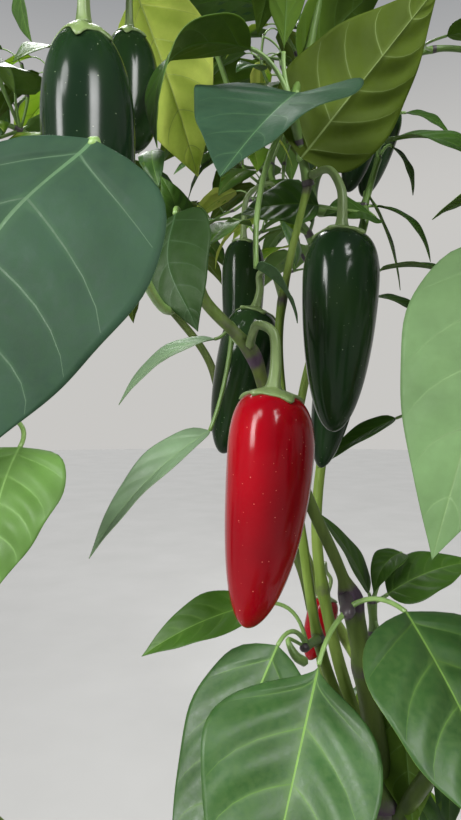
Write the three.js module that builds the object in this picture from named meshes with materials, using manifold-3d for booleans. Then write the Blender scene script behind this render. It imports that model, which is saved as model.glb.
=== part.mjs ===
import * as THREE from 'three';
import { mergeVertices } from 'three/addons/utils/BufferGeometryUtils.js';
import Module from 'manifold-3d';

// A chilli pepper plant in fruit, rooted in the ground. Lengths are millimetres, Z is up, and
// the origin is the middle of the flat cut at the foot of the main stem.

const wasm = await Module();
wasm.setup();
const { Manifold, Mesh } = wasm;

// Sizes that drive the whole plant.
const CLEARANCE = 0.3;
const WELD = 1e-4;
const STEM_FLARE = 11;
const STEM_FOOT = 7.8;
const STEM_TOP = 6.6;
const FLARE_HEIGHT = 26;
const FORK = [-10, 3, 237];
const STEM_SIDES = 8;
const BOUGH_SIDES = 6;
const TWIG_SIDES = 3;
const POD_SIDES = { fine: 12, plain: 7 };
const PETIOLE = 1.25;
const BLADE_THICKNESS = 0.012;
const BLADE_SPACING = 4.8;
const TWIG_SPACING = 4;
const FORK_ANGLE = 0.55;
const UPTURN = 0.14;
const SHRINK = 0.86;
const FRINGE = 1.3;
const TWIG_RADIUS = 2.2;
const SHOULDER = 0.17;
const LOBES = 0.035;

// Where the blade of a leaf is measured, as shares of its length.
const BLADE_STEPS = {
  fine: [0.04, 0.15, 0.34, 0.58, 0.8],
  plain: [0.08, 0.34, 0.7],
  coarse: [0.14, 0.56],
};
const PETIOLE_STEPS = { fine: [0.66, 0.33, 0], plain: [0.5, 0], coarse: [0] };

// The crown is kept open towards the front: nothing grown by the seeded rule stands in the
// pyramid seen from this place, unless it is behind one of the screens of leaves and fruit.
const LOOKOUT = [-76, -255, 400];
const OPEN_ACROSS = 0.42;
const OPEN_UP = 0.74;
const SCREENS = [
  { left: -0.42, right: -0.14, low: 0.02, high: 0.74, beyond: 290 },
  { left: -0.24, right: 0.15, low: 0.2, high: 0.74, beyond: 320 },
  { left: -0.05, right: 0.42, low: -0.74, high: -0.43, beyond: 290 },
];

const colours = {
  stem: 0x5f7040,
  leaf: 0x3f6b3c,
  stalk: 0x7f9d55,
  green: 0x16301f,
  red: 0xb3121c,
};

const toVector = (place) => new THREE.Vector3(...place);
const UP = toVector([0, 0, 1]);
const EAST = toVector([1, 0, 0]);

// Numbers between 0 and 1 that come out the same each time for the same seed.
const seeded = (seed) => {
  let state = seed;
  return () => {
    state = (state * 16807) % 2147483647;
    return state / 2147483647;
  };
};

const smoothPath = (places) =>
  new THREE.CatmullRomCurve3(places.map(toVector), false, 'centripetal');

// Moves every corner of a geometry to the place that the rule gives for it.
const reshape = (geometry, rule) => {
  const position = geometry.getAttribute('position');
  const corner = new THREE.Vector3();
  for (let i = 0; i < position.count; i += 1) {
    corner.fromBufferAttribute(position, i);
    position.setXYZ(i, ...rule(corner).toArray());
  }
  return geometry;
};

// Makes a closed solid of a geometry: corners are welded, slivers dropped, faces turned out.
const toSolid = (geometry) => {
  const bare = new THREE.BufferGeometry();
  bare.setAttribute('position', geometry.getAttribute('position'));
  bare.setIndex(geometry.getIndex());
  const welded = mergeVertices(bare, WELD);
  const corners = welded.getIndex().array;
  const places = welded.getAttribute('position');
  const [a, b, c] = [new THREE.Vector3(), new THREE.Vector3(), new THREE.Vector3()];
  const kept = [];
  let volume = 0;
  for (let i = 0; i < corners.length; i += 3) {
    const [p, q, r] = [corners[i], corners[i + 1], corners[i + 2]];
    if (p !== q && q !== r && r !== p) {
      kept.push([p, q, r]);
      a.fromBufferAttribute(places, p);
      b.fromBufferAttribute(places, q);
      c.fromBufferAttribute(places, r);
      volume += a.dot(b.cross(c));
    }
  }
  const turned = volume < 0 ? kept.map(([p, q, r]) => [p, r, q]) : kept;
  return new Manifold(
    new Mesh({
      numProp: 3,
      vertProperties: new Float32Array(places.array),
      triVerts: new Uint32Array(turned.flat()),
    }),
  );
};

// A solid turned about a curved line, from its radius at each share of the line.
const bentLathe = (radiusAt, curve, rings, sides, ends = 0) => {
  const profile = [new THREE.Vector2(0, 0)];
  for (let ring = 0; ring <= rings; ring += 1) {
    profile.push(new THREE.Vector2(radiusAt(ring / rings), ring));
  }
  profile.push(new THREE.Vector2(0, rings));
  const frames = curve.computeFrenetFrames(rings, false);
  return toSolid(
    reshape(new THREE.LatheGeometry(profile, sides), (corner) => {
      const ring = Math.round(corner.y);
      const beyond = (ring === rings ? ends : 0) - (ring === 0 ? ends : 0);
      return curve
        .getPointAt(ring / rings)
        .addScaledVector(frames.tangents[ring], beyond)
        .addScaledVector(frames.normals[ring], corner.x)
        .addScaledVector(frames.binormals[ring], corner.z);
    }),
  );
};

// The place, direction and sides of the middle line of a blade at a share of its length.
const bladeFrame = (leaf, share) => {
  const along = leaf.tip.clone().sub(leaf.base);
  const length = along.length();
  along.normalize();
  const up = leaf.face.clone().addScaledVector(along, -leaf.face.dot(along)).normalize();
  const side = along.clone().cross(up);
  const place = leaf.base
    .clone()
    .addScaledVector(along, share * length)
    .addScaledVector(up, 4 * leaf.arch * share * (1 - share) * length);
  const tangent = along.addScaledVector(up, 4 * leaf.arch * (1 - 2 * share)).normalize();
  return { place, tangent, side, up: side.clone().cross(tangent), length };
};

// Half the width of a blade at a share of its length: widest at about a third, pointed at the tip.
const halfWidth = (leaf, share) => 0.5 * leaf.width * 2.7 * share ** 0.5 * (1 - share) ** 1.1;

// The stalk of a leaf bends once, towards the direction in which its blade sets out.
const petioleCurve = (leaf) => {
  const start = bladeFrame(leaf, 0);
  const reach = leaf.root.distanceTo(leaf.base);
  const knee = leaf.knee ?? leaf.base.clone().addScaledVector(start.tangent, -reach / 2);
  return new THREE.QuadraticBezierCurve3(leaf.root, knee, leaf.base);
};

// The cross-sections of a leaf, from its root in the twig to just short of the tip.
const leafRings = (leaf) => {
  const curve = petioleCurve(leaf);
  const start = bladeFrame(leaf, 0);
  const rings = [];
  let { side, up, tangent } = start;
  for (const share of PETIOLE_STEPS[leaf.detail]) {
    const next = curve.getTangent(share);
    const turn = new THREE.Quaternion().setFromUnitVectors(tangent, next);
    side = side.clone().applyQuaternion(turn);
    up = up.clone().applyQuaternion(turn);
    tangent = next;
    const size = share ? PETIOLE : 0.3 * PETIOLE;
    rings.unshift({ place: curve.getPoint(share), side, up, half: size, thick: size });
  }
  rings.push({ ...start, half: PETIOLE, thick: PETIOLE });
  for (const share of BLADE_STEPS[leaf.detail]) {
    const frame = bladeFrame(leaf, share);
    const thick = Math.max(BLADE_THICKNESS * frame.length * (1.2 - share), 0.4);
    rings.push({ ...frame, half: halfWidth(leaf, share), thick, fold: leaf.fold });
  }
  return rings;
};

// One leaf with its stalk: a strip of flat diamonds, folded along the middle line.
const leafSolid = (leaf) => {
  const rings = leafRings(leaf);
  const profile = [new THREE.Vector2(0, 0)];
  rings.forEach((ring, i) => profile.push(new THREE.Vector2(1, i)));
  profile.push(new THREE.Vector2(0, rings.length));
  return toSolid(
    reshape(new THREE.LatheGeometry(profile, 4), (corner) => {
      const last = corner.y > rings.length - 0.5;
      const ring = rings[Math.min(Math.round(corner.y), rings.length - 1)];
      const lift = ring.fold ? ring.fold * ring.half * Math.abs(corner.z) : 0;
      return last
        ? leaf.tip.clone()
        : ring.place
            .clone()
            .addScaledVector(ring.side, corner.z * ring.half)
            .addScaledVector(ring.up, corner.x * ring.thick + lift);
    }),
  );
};

// Places spread over a blade, by which leaves keep clear of each other.
const bladePlaces = (leaf) =>
  [0.02, 0.2, 0.38, 0.56, 0.74, 0.97].flatMap((share) => {
    const frame = bladeFrame(leaf, share);
    const across = 0.8 * halfWidth(leaf, share);
    return [-across, 0, across].map((offset) =>
      frame.place
        .clone()
        .addScaledVector(frame.side, offset)
        .addScaledVector(frame.up, leaf.fold * Math.abs(offset)),
    );
  });

// A twig that passes from node to node, with its own radius at each, a little past the last.
const twigSolid = ({ places, radii }) => {
  const last = places.at(-1);
  const onward = last.clone().sub(places.at(-2)).setLength(1.2 * radii.at(-1));
  const line = [...places, last.clone().add(onward)];
  const sizes = [...radii, 0.8 * radii.at(-1)];
  const profile = [[0, 0], ...sizes.map((size, i) => [size, i]), [0, line.length - 1]];
  const frames = [];
  line.forEach((place, i) => {
    const tangent = line[Math.min(i + 1, line.length - 1)].clone().sub(line[Math.max(i - 1, 0)]);
    tangent.normalize();
    const before = frames.at(-1);
    const turn = new THREE.Quaternion().setFromUnitVectors(before?.tangent ?? UP, tangent);
    const side = (before?.side ?? EAST).clone().applyQuaternion(turn);
    frames.push({ tangent, side, front: tangent.clone().cross(side) });
  });
  const outline = profile.map(([radius, step]) => new THREE.Vector2(radius, step));
  return toSolid(
    reshape(new THREE.LatheGeometry(outline, TWIG_SIDES), (corner) => {
      const step = Math.round(corner.y);
      return line[step]
        .clone()
        .addScaledVector(frames[step].side, corner.x)
        .addScaledVector(frames[step].front, corner.z);
    }),
  );
};

// The radius of a pod at a share of its length: a round shoulder, then a taper to the tip.
const podRadius = (pod, share) => {
  const { shoulder = SHOULDER, fullness = 3, blunt = 0.75 } = pod;
  if (share < shoulder) {
    return pod.radius * Math.sqrt(1 - (1 - share / shoulder) ** 2);
  }
  return pod.radius * (1 - ((share - shoulder) / (1 - shoulder)) ** fullness) ** blunt;
};

const POD_STEPS = [0.012, 0.05, 0.11, 0.2, 0.34, 0.5, 0.66, 0.8, 0.91, 0.97];

// A solid turned about the axis of a pod, from (radius, share of its length) pairs. The pod
// hangs from its top to its tip, bowed to one side, with shallow lobes round it.
const podLathe = (pod, profile) => {
  const axis = toVector(pod.tip).sub(toVector(pod.top));
  const length = axis.length();
  axis.normalize();
  const side = new THREE.Vector3(1, 0, 0).addScaledVector(axis, -axis.x).normalize();
  const front = axis.clone().cross(side);
  const bow = toVector(pod.bow ?? [0, 0, 0]);
  const outline = profile.map(([radius, share]) => new THREE.Vector2(radius, share));
  return toSolid(
    reshape(new THREE.LatheGeometry(outline, pod.fine ? POD_SIDES.fine : POD_SIDES.plain), (corner) => {
      const share = corner.y;
      const lobe = 1 + LOBES * Math.cos(3 * Math.atan2(corner.z, corner.x));
      return toVector(pod.top)
        .addScaledVector(axis, share * length)
        .addScaledVector(side, corner.x * lobe)
        .addScaledVector(front, corner.z * lobe)
        .addScaledVector(bow, 4 * share * (1 - share));
    }),
  );
};

const podSolid = (pod) => {
  const steps = pod.fine ? POD_STEPS : POD_STEPS.filter((share, i) => i !== 1 && i !== 4);
  return podLathe(pod, [[0, 0], ...steps.map((share) => [podRadius(pod, share), share]), [0, 1]]);
};

// The green cap over the shoulder of a pod, 0.3 mm clear of it, and the stalk that carries it.
const calyxAndStalk = (pod) => {
  const top = toVector(pod.top);
  const axis = toVector(pod.tip).sub(top);
  const length = axis.length();
  axis.normalize();
  const scale = pod.radius / 15.8;
  const outer = [[0, -2.6], [3.8, -2.2], [8, -0.4], [11.6, 2.6]];
  const inner = (pod.fine ? [0.75, 0.45] : [0.6]).map((share) => 11.6 * scale * share);
  const drop = (radius) => (pod.shoulder ?? SHOULDER) * (1 - Math.sqrt(1 - (radius / pod.radius) ** 2));
  const clear = (CLEARANCE + 0.25) / length;
  const cap = podLathe(pod, [
    ...outer.map(([radius, height]) => [radius * scale, (height * scale) / length]),
    [11.6 * scale, drop(11.6 * scale) - clear],
    ...inner.map((radius) => [radius, drop(radius) - clear]),
    [0, -clear],
  ]);
  const neck = top.clone().addScaledVector(axis, -1.6 * scale);
  const path = new THREE.CatmullRomCurve3(
    [...pod.stalk.map(toVector), neck.clone().addScaledVector(axis, -9), neck],
    false,
    'centripetal',
  );
  const thickness = (share) => scale * (1.5 + 1.9 * share ** 2);
  const stalk = bentLathe(thickness, path, pod.fine ? 9 : 5, pod.fine ? 8 : 5);
  return Manifold.union([cap, stalk]);
};

const largest = (solid) => {
  const bodies = solid.decompose();
  return bodies.reduce((best, body) => (body.volume() > best.volume() ? body : best));
};

// The limbs, thickest first: the places each one passes and its radius at both ends. A bend is
// the share of its length at which a limb turns round a wide gap.
const limbs = {
  main_stem: {
    path: [[0, 0, -6], [0, 0, 12], [-2, 2, 70], [-7, 4, 140], [-9, 4, 200], FORK],
    radii: [STEM_FOOT, STEM_TOP],
    flare: STEM_FLARE - STEM_FOOT,
    rings: 12,
  },
  bough_front: {
    path: [
      [-10, 1, 234],
      [-18, -2, 280],
      [-27, -5, 324],
      [-44, -10, 363],
      [-62, -18, 406],
      [-68, -25, 422],
      [-86, -35, 441],
      [-89, -40, 450],
    ],
    radii: [5.1, 3.5],
    rings: 14,
  },
  bough_middle: {
    path: [
      [-12, 5, 236],
      [-26, 12, 266],
      [-36, 14, 295],
      [-44, 11, 342],
      [-51, 9, 387],
      [-55, 7, 431],
      [-51, 8, 461],
      [-42, 7, 499],
    ],
    radii: [3.4, 2.5],
    rings: 13,
  },
  bough_right_back: {
    path: [
      [-9, 8, 232],
      [-18, 28, 258],
      [-26, 42, 290],
      [-33, 45, 340],
      [-25, 50, 405],
      [-14, 55, 456],
    ],
    radii: [4.2, 2.8],
    rings: 11,
  },
  bough_right: {
    path: [[-6, 2, 228], [20, 2, 262], [62, -4, 310], [98, -8, 362], [118, -10, 412]],
    radii: [4.4, 2.9],
    rings: 10,
  },
  bough_right_front: {
    path: [[-8, -2, 224], [6, -26, 270], [22, -56, 330], [34, -82, 378], [42, -98, 420]],
    radii: [3.9, 2.7],
    rings: 10,
  },
  bough_back: {
    path: [
      [-7, 8, 226],
      [-4, 54, 258],
      [-22, 96, 290],
      [-40, 122, 350],
      [-30, 130, 410],
      [-15, 130, 472],
    ],
    radii: [4, 2.8],
    rings: 11,
  },
  bough_back_left: {
    path: [
      [-8, 8, 206],
      [-22, 48, 240],
      [-28, 78, 276],
      [-36, 94, 312],
      [-56, 112, 344],
      [-76, 124, 378],
      [-90, 136, 432],
      [-118, 140, 470],
    ],
    radii: [4, 2.8],
    rings: 11,
  },
  bough_left: {
    path: [
      [-5, 3, 142],
      [-60, 16, 172],
      [-122, 20, 184],
      [-178, 12, 214],
      [-203, 0, 272],
      [-205, -10, 346],
    ],
    radii: [4.2, 2.7],
    rings: 12,
    bend: 0.6,
  },
  bough_low_right: {
    path: [[-3, 1, 160], [30, -22, 190], [66, -42, 218], [86, -50, 246]],
    radii: [3.6, 2.6],
    rings: 8,
  },
};

const limbCurves = Object.fromEntries(
  Object.entries(limbs).map(([name, limb]) => [name, smoothPath(limb.path)]),
);

// One tapering limb, wider near the ground where it flares to the roots.
const limbSolid = (name, grown = 0) => {
  const { radii, flare = 0, rings } = limbs[name];
  const curve = limbCurves[name];
  const radius = (share) => {
    const height = curve.getPointAt(share).z;
    const spread = flare * Math.exp(-Math.max(height, 0) / (FLARE_HEIGHT / 2));
    return radii[0] + (radii[1] - radii[0]) * share + spread + grown;
  };
  const sides = name === 'bough_front' || flare ? STEM_SIDES : BOUGH_SIDES;
  return bentLathe(radius, curve, rings, sides, grown);
};

// A leaf placed by hand: root in the twig, foot and tip of the blade, way it faces, width,
// bend along the middle, fold across it, and where its stalk bends if that isn't plain.
const leaf = (root, base, tip, face, width, arch = 0.1, fold = 0.12, knee = null) => ({
  root: toVector(root),
  base: toVector(base),
  tip: toVector(tip),
  face: toVector(face),
  width,
  arch,
  fold,
  knee: knee && toVector(knee),
  detail: width > 25 ? 'fine' : width > 17 ? 'plain' : 'coarse',
});

// Pods: where each hangs and ends, its radius, and the places its stalk passes from the twig.
const pods = {
  pod_red_front: {
    top: [-61, -40, 406],
    tip: [-70, -40, 322],
    radius: 15.8,
    bow: [1.5, 0, 0],
    stalk: [[-69, -27.5, 424.5], [-66, -37, 431], [-61, -40, 428]],
    colour: 'red',
    fine: true,
  },
  pod_green_right: {
    top: [-30.5, -9, 473],
    tip: [-34, -9, 391],
    radius: 15.6,
    bow: [0, 0, 0],
    stalk: [[-41, 4, 501.5], [-35, -3, 501], [-30.5, -8, 491]],
    colour: 'green',
    fine: true,
  },
  pod_green_top: {
    top: [-124, -54, 530],
    tip: [-123, -54, 462],
    radius: 15.2,
    shoulder: 0.16,
    fullness: 5,
    blunt: 0.62,
    stalk: [[-131, -29, 566], [-128, -48, 562], [-125, -54, 549]],
    colour: 'green',
    fine: true,
  },
  pod_green_top_behind: {
    top: [-116.5, -14, 552],
    tip: [-116, -14, 503],
    radius: 10.8,
    shoulder: 0.16,
    fullness: 4,
    blunt: 0.7,
    stalk: [[-131, -26, 566], [-124, -17, 576], [-117, -14, 571]],
    colour: 'green',
  },
  pod_green_middle: {
    top: [-64, 35, 448],
    tip: [-80, 35, 379],
    radius: 13.6,
    stalk: [[-53, 9, 448], [-57, 22, 464], [-62, 33, 465]],
    colour: 'green',
  },
  pod_green_behind: {
    top: [-69, 66, 490],
    tip: [-71, 66, 416],
    radius: 11.5,
    stalk: [[-44, 112, 528], [-54, 84, 528], [-67, 67, 514]],
    colour: 'green',
  },
  pod_pair_left: {
    top: [2, 78, 572],
    tip: [-11, 78, 521],
    radius: 9.6,
    stalk: [[11, 112, 601], [7, 92, 607], [3, 79, 593]],
    colour: 'green',
  },
  pod_pair_right: {
    top: [16, 93, 576],
    tip: [1, 94, 524],
    radius: 9.6,
    stalk: [[12, 112, 602], [17, 101, 610], [17, 94, 599]],
    colour: 'green',
  },
  pod_green_low: {
    top: [-22, 25, 440],
    tip: [-34, 25, 373],
    radius: 10.6,
    stalk: [[-13, 55, 458], [-16, 38, 466], [-21, 26, 457]],
    colour: 'green',
  },
  pod_red_low: {
    top: [-25.5, 62, 301],
    tip: [-34.5, 62, 268],
    radius: 8,
    stalk: [[-29, 46, 312], [-27, 55, 321], [-25.5, 61, 315]],
    colour: 'red',
  },
  pod_right_outer: {
    top: [152, -34, 432],
    tip: [155, -36, 356],
    radius: 14.5,
    stalk: [[124, -12, 432], [140, -28, 452], [151, -34, 450]],
    colour: 'green',
  },
  pod_right_inner: {
    top: [98, -42, 398],
    tip: [94, -42, 320],
    radius: 14,
    stalk: [[119, -11, 420], [106, -36, 426], [99, -42, 416]],
    colour: 'red',
  },
  pod_right_front: {
    top: [62, -128, 408],
    tip: [64, -130, 334],
    radius: 14,
    stalk: [[44, -100, 426], [56, -122, 438], [62, -128, 428]],
    colour: 'green',
  },
  pod_left: {
    top: [-224, 20, 348],
    tip: [-228, 22, 274],
    radius: 14,
    stalk: [[-205, -8, 358], [-218, 12, 376], [-224, 20, 367]],
    colour: 'green',
  },
  pod_back: {
    top: [-6, 153, 462],
    tip: [-5, 155, 394],
    radius: 13.5,
    stalk: [[-14, 131, 484], [-9, 148, 492], [-6, 153, 480]],
    colour: 'red',
  },
  pod_back_left: {
    top: [-176, 152, 534],
    tip: [-181, 154, 464],
    radius: 13.5,
    stalk: [[-147, 138, 530], [-164, 150, 560], [-175, 152, 553]],
    colour: 'green',
  },
  pod_low_right: {
    top: [112, -72, 238],
    tip: [115, -74, 172],
    radius: 13,
    stalk: [[88, -52, 252], [102, -66, 268], [111, -72, 257]],
    colour: 'green',
  },
};

// The masses of leaves. Each has the line of its own stem and that stem's radius, the leaves
// and pods set on it by hand, and, where the rule goes on from the stem's end, a seed, the
// middle and half sizes of its space, the length of its first twigs and of its leaves.
const masses = {
  leaves_fork_front: {
    stem: [[-27.5, -6, 323], [-29, -14, 319]],
    radius: 2.9,
    leaves: [
      leaf([-29, -13, 319], [-43, -31, 305], [-71, -77, 228], [-0.1, -0.75, 0.6], 57, 0.02, 0.06),
      leaf(
        [-28, -12, 320], [-10, -29, 324], [13, -79, 262], [0.25, -0.7, 0.65], 61, 0.05, 0.06,
        [-18, -16, 329],
      ),
    ],
  },
  leaves_fork_left: {
    stem: [[-36, 14, 298], [-44, 3, 298]],
    radius: 2.2,
    leaves: [
      leaf(
        [-43, 5, 298], [-57, -13, 305], [-97, -42, 222], [-0.3, -0.65, 0.65], 48, 0.02, 0.06,
        [-50, -6, 314],
      ),
      leaf(
        [-43, 6, 298], [-68, -7, 319], [-111, -19, 303], [0.1, -0.6, 0.8], 20, 0.1, 0.3,
        [-47, 3, 322],
      ),
    ],
    buds: [{ path: [[-44, 4, 298], [-52, -4, 304], [-49, -6, 298], [-45, -5, 295]], radius: 1.4 }],
  },
  leaves_fork_right: {
    stem: [[-20, -1, 292], [-13, 10, 300], [-13, 12, 314]],
    radius: 2.1,
    leaves: [
      leaf([-13, 12, 313], [-14, 14, 318], [-37, 18, 354], [0.75, -0.5, 0.4], 15, 0.06, 0.2),
      leaf(
        [-13, 12, 314], [2, 18, 335], [-13, 9, 319], [-0.5, -0.6, 0.6], 14, 0.25, 0.2,
        [-6, 16, 334],
      ),
      leaf([-13, 12, 314], [-6, 12, 318], [34, 14, 332], [-0.3, -0.5, 0.8], 26, 0.1, 0.12),
      leaf([-13, 12, 308], [-11, 8, 302], [-14, 2, 268], [0.6, -0.8, 0.1], 20, 0.05, 0.12),
      leaf([-13, 11, 302], [-2, 6, 280], [-3, -15, 232], [0.2, 0.9, 0.2], 34, 0.06, 0.1),
    ],
  },
  leaves_middle_left: {
    stem: [[-67, -22, 421], [-73, -5, 430], [-76, 8, 437]],
    radius: 2.2,
    leaves: [
      leaf([-76, 8, 437], [-83, 7, 431], [-123, -3, 402], [-0.3, -0.45, 0.8], 24, 0.12, 0.3),
      leaf(
        [-75, 4, 435], [-85, 7, 391], [-135, -5, 338], [-0.6, -0.6, 0.5], 26, 0.08, 0.45,
        [-78, 8, 408],
      ),
    ],
  },
  leaves_top_left: {
    stem: [
      [-88.5, -39, 448],
      [-92, -41, 459],
      [-105, -41, 470],
      [-124, -34, 490],
      [-136, -22, 522],
      [-131, -27, 566],
    ],
    radius: 2.7,
    pods: ['pod_green_top', 'pod_green_top_behind'],
    leaves: [
      leaf(
        [-92, -41, 459], [-104, -133, 455], [-129, -137, 388], [-0.1, -0.95, 0.25], 49, 0.06, 0.04,
        [-89, -100, 400],
      ),
      leaf([-91, -40, 457], [-94, -59, 464], [-86, -71, 424], [-0.5, -0.85, 0.1], 27, 0.08, 0.1),
      leaf([-91, -41, 459], [-94, -42, 462], [-100, -50, 480], [0.1, -0.6, 0.6], 15, 0.12, 0.1),
      leaf([-91, -41, 458], [-84, -33, 461], [-67, -13, 474], [-0.3, -0.5, 0.8], 17, 0.14, 0.15),
      leaf([-131, -27, 566], [-117, 7, 582], [-90, 3, 500], [0.3, 0.9, 0.3], 46, 0.05, 0.12),
      leaf([-131, -28, 566], [-147, -52, 548], [-142, -56, 522], [-0.8, -0.5, 0.1], 13, 0.05, 0.2),
    ],
    seed: 80,
    space: [[-150, -50, 612], [85, 80, 84]],
    heading: [-0.35, -0.25, 1],
    internode: 44,
    blade: 62,
    levels: 3,
  },
  leaves_top_middle: {
    stem: [[-42, 7, 498], [-46, 2, 513], [-50, -5, 526], [-42, 10, 556], [-32, 18, 600]],
    radius: 2.1,
    leaves: [
      leaf([-46, 2, 513], [-46, 0, 507], [5, -23, 565], [0.45, 0.55, 0.7], 56, 0.04, 0.12),
      leaf([-50, -5, 525], [-49, -11, 529], [-79, -85, 466], [-0.05, -0.62, 0.78], 62, 0.02, 0.26),
      leaf(
        [-50, -5, 526], [-68, -11, 547], [-102, -42, 493], [-0.7, -0.35, 0.66], 28, 0.25, 0.2,
        [-57, -7, 546],
      ),
      leaf([-50, -5, 527], [-54, -7, 548], [-52, -21, 600], [0.1, 0.9, 0.2], 28, 0.04, 0.16),
      leaf([-49, -2, 530], [-44, 14, 552], [1, 31, 607], [-0.1, 0.6, 0.7], 36, 0.06, 0.14),
      leaf(
        [-50, -5, 526], [-66, -23, 455], [-52, -40, 431], [0.85, -0.1, 0.5], 13, 0.1, 0.3,
        [-68, -14, 494],
      ),
    ],
    seed: 148,
    space: [[-30, 5, 650], [90, 85, 58]],
    heading: [0.1, 0, 1],
    internode: 42,
    blade: 60,
    levels: 3,
  },
  leaves_right_back: {
    stem: [
      [-14, 55, 454],
      [-11, 57, 480],
      [-6, 61, 506],
      [-26, 84, 512],
      [-22, 112, 545],
      [-4, 118, 580],
      [12, 112, 602],
      [46, 108, 618],
      [84, 104, 612],
    ],
    twigs: [[[-6, 61, 506], [4, 70, 536]]],
    radius: 2.3,
    pods: ['pod_pair_left', 'pod_pair_right', 'pod_green_low'],
    leaves: [
      leaf([4, 70, 536], [6, 63, 542], [50, 32, 512], [0.1, -0.6, 0.8], 32, 0.14, 0.15),
      leaf([5, 71, 538], [11, 68, 542], [21, 64, 514], [0.75, -0.6, 0.3], 14, 0.1, 0.15),
      leaf([4, 70, 536], [22, 80, 566], [44, 72, 549], [0.1, -0.6, 0.75], 16, 0.1, 0.15),
      leaf([-6, 61, 506], [-3, 52, 499], [-31, 36, 494], [-0.1, -0.8, 0.6], 26, 0.1, 0.1),
      leaf([-5, 62, 510], [-3, 66, 516], [12, 56, 462], [0.85, -0.4, 0.2], 12, 0.05, 0.2),
      leaf([-6, 61, 507], [1, 60, 507], [24, 45, 474], [0.4, -0.5, 0.75], 12, 0.15, 0.2),
      leaf([-12, 56, 466], [-1, 45, 470], [38, 25, 456], [0.1, -0.3, 0.95], 16, 0.12, 0.3),
      leaf([-13, 56, 460], [-3, 46, 457], [18, 30, 442], [0.2, -0.5, 0.8], 12, 0.08, 0.25),
      leaf([-6, 61, 504], [-34, 30, 497], [-71, 34, 494], [0.1, -0.75, 0.6], 36, 0.08, 0.1),
      leaf([46, 108, 618], [42, 72, 604], [64, 52, 592], [0.1, 0.4, 0.9], 14, 0.1, 0.3),
    ],
    seed: 110,
    space: [[106, 100, 596], [88, 84, 92]],
    heading: [0.95, 0, 0.1],
    internode: 42,
    blade: 66,
    levels: 3,
  },
  leaves_right: {
    stem: [[117.6, -10, 410], [124, -12, 434], [132, -8, 462]],
    radius: 2.5,
    twigs: [[[120, -11, 418], [84, 4, 420], [56, 14, 408]], [[84, 4, 420], [72, 6, 470]]],
    pods: ['pod_right_outer', 'pod_right_inner'],
    leaves: [
      leaf([56, 14, 408], [4, 35, 396], [-33, 42, 371], [0.1, -0.5, 0.85], 12, 0.06, 0.35),
      leaf([72, 6, 470], [41, 5, 493], [13, 10, 484], [0, 0.1, 1], 16, 0.1, 0.2),
    ],
    seed: 18,
    space: [[138, -12, 480], [92, 74, 108]],
    heading: [0.3, 0, 1],
    internode: 46,
    blade: 72,
    levels: 3,
  },
  leaves_right_front: {
    stem: [[41.8, -97.6, 418], [46, -104, 440], [52, -112, 462]],
    radius: 2.4,
    pods: ['pod_right_front'],
    leaves: [
      leaf([45, -103, 436], [-3, -104, 443], [-29, -115, 365], [-0.3, -0.9, 0.2], 42, 0.06, 0.08),
    ],
    seed: 153,
    space: [[92, -118, 462], [84, 62, 100]],
    heading: [0.3, -0.2, 1],
    internode: 44,
    blade: 70,
    levels: 3,
  },
  leaves_back: {
    stem: [[-15, 130, 470], [-14, 131, 486], [-26, 128, 512], [-44, 112, 528], [-50, 130, 556]],
    radius: 2.4,
    pods: ['pod_green_behind', 'pod_back'],
    leaves: [],
    seed: 153,
    space: [[-50, 150, 560], [96, 74, 110]],
    heading: [-0.05, 0.3, 1],
    internode: 46,
    blade: 70,
    levels: 3,
  },
  leaves_back_left: {
    stem: [[-117.5, 140, 468], [-124, 141, 482], [-138, 138, 504], [-147, 138, 530]],
    radius: 2.4,
    pods: ['pod_back_left'],
    leaves: [],
    seed: 22,
    space: [[-172, 130, 530], [80, 84, 104]],
    heading: [-0.6, 0.1, 0.8],
    internode: 46,
    blade: 70,
    levels: 3,
  },
  leaves_left: {
    stem: [[-205, -9.6, 344], [-204, -10, 366], [-200, -14, 400], [-200, -18, 440]],
    radius: 2.4,
    pods: ['pod_left'],
    leaves: [
      leaf([-200, -14, 402], [-155, -30, 386], [-158, -50, 336], [-0.1, -0.8, 0.5], 34, 0.14, 0.12),
    ],
    seed: 54,
    space: [[-226, -10, 430], [52, 96, 130]],
    heading: [-0.2, 0, 1],
    internode: 46,
    blade: 70,
    levels: 3,
  },
  leaves_low_right: {
    stem: [[85.6, -49.6, 245], [92, -54, 260], [104, -58, 280]],
    radius: 2.3,
    pods: ['pod_low_right'],
    leaves: [],
    seed: 23,
    space: [[112, -66, 285], [84, 76, 84]],
    heading: [0.5, -0.1, 0.9],
    internode: 42,
    blade: 66,
    levels: 2,
  },
  leaves_low_back: {
    stem: [[-6, 4, 176], [14, 40, 196], [28, 72, 206]],
    radius: 2.4,
    leaves: [],
    seed: 43,
    space: [[40, 110, 250], [96, 78, 96]],
    heading: [0.35, 0.7, 0.5],
    internode: 44,
    blade: 66,
    levels: 3,
  },
  leaves_low_front: {
    stem: [[-4, 1, 126], [-20, -36, 150], [-38, -66, 164]],
    radius: 2.3,
    leaves: [],
    seed: 120,
    space: [[-62, -96, 190], [96, 82, 76]],
    heading: [-0.45, -0.6, 0.45],
    internode: 42,
    blade: 66,
    levels: 3,
  },
};

// Whether a place is in the part of the crown that stays open towards the front.
const isOpen = ({ x, y, z }) => {
  const depth = y - LOOKOUT[1];
  const across = (x - LOOKOUT[0]) / depth;
  const up = (z - LOOKOUT[2]) / depth;
  if (Math.abs(across) > OPEN_ACROSS || Math.abs(up) > OPEN_UP) {
    return false;
  }
  const hides = (screen) =>
    depth > screen.beyond &&
    across > screen.left &&
    across < screen.right &&
    up > screen.low &&
    up < screen.high;
  return !SCREENS.some(hides);
};

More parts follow.
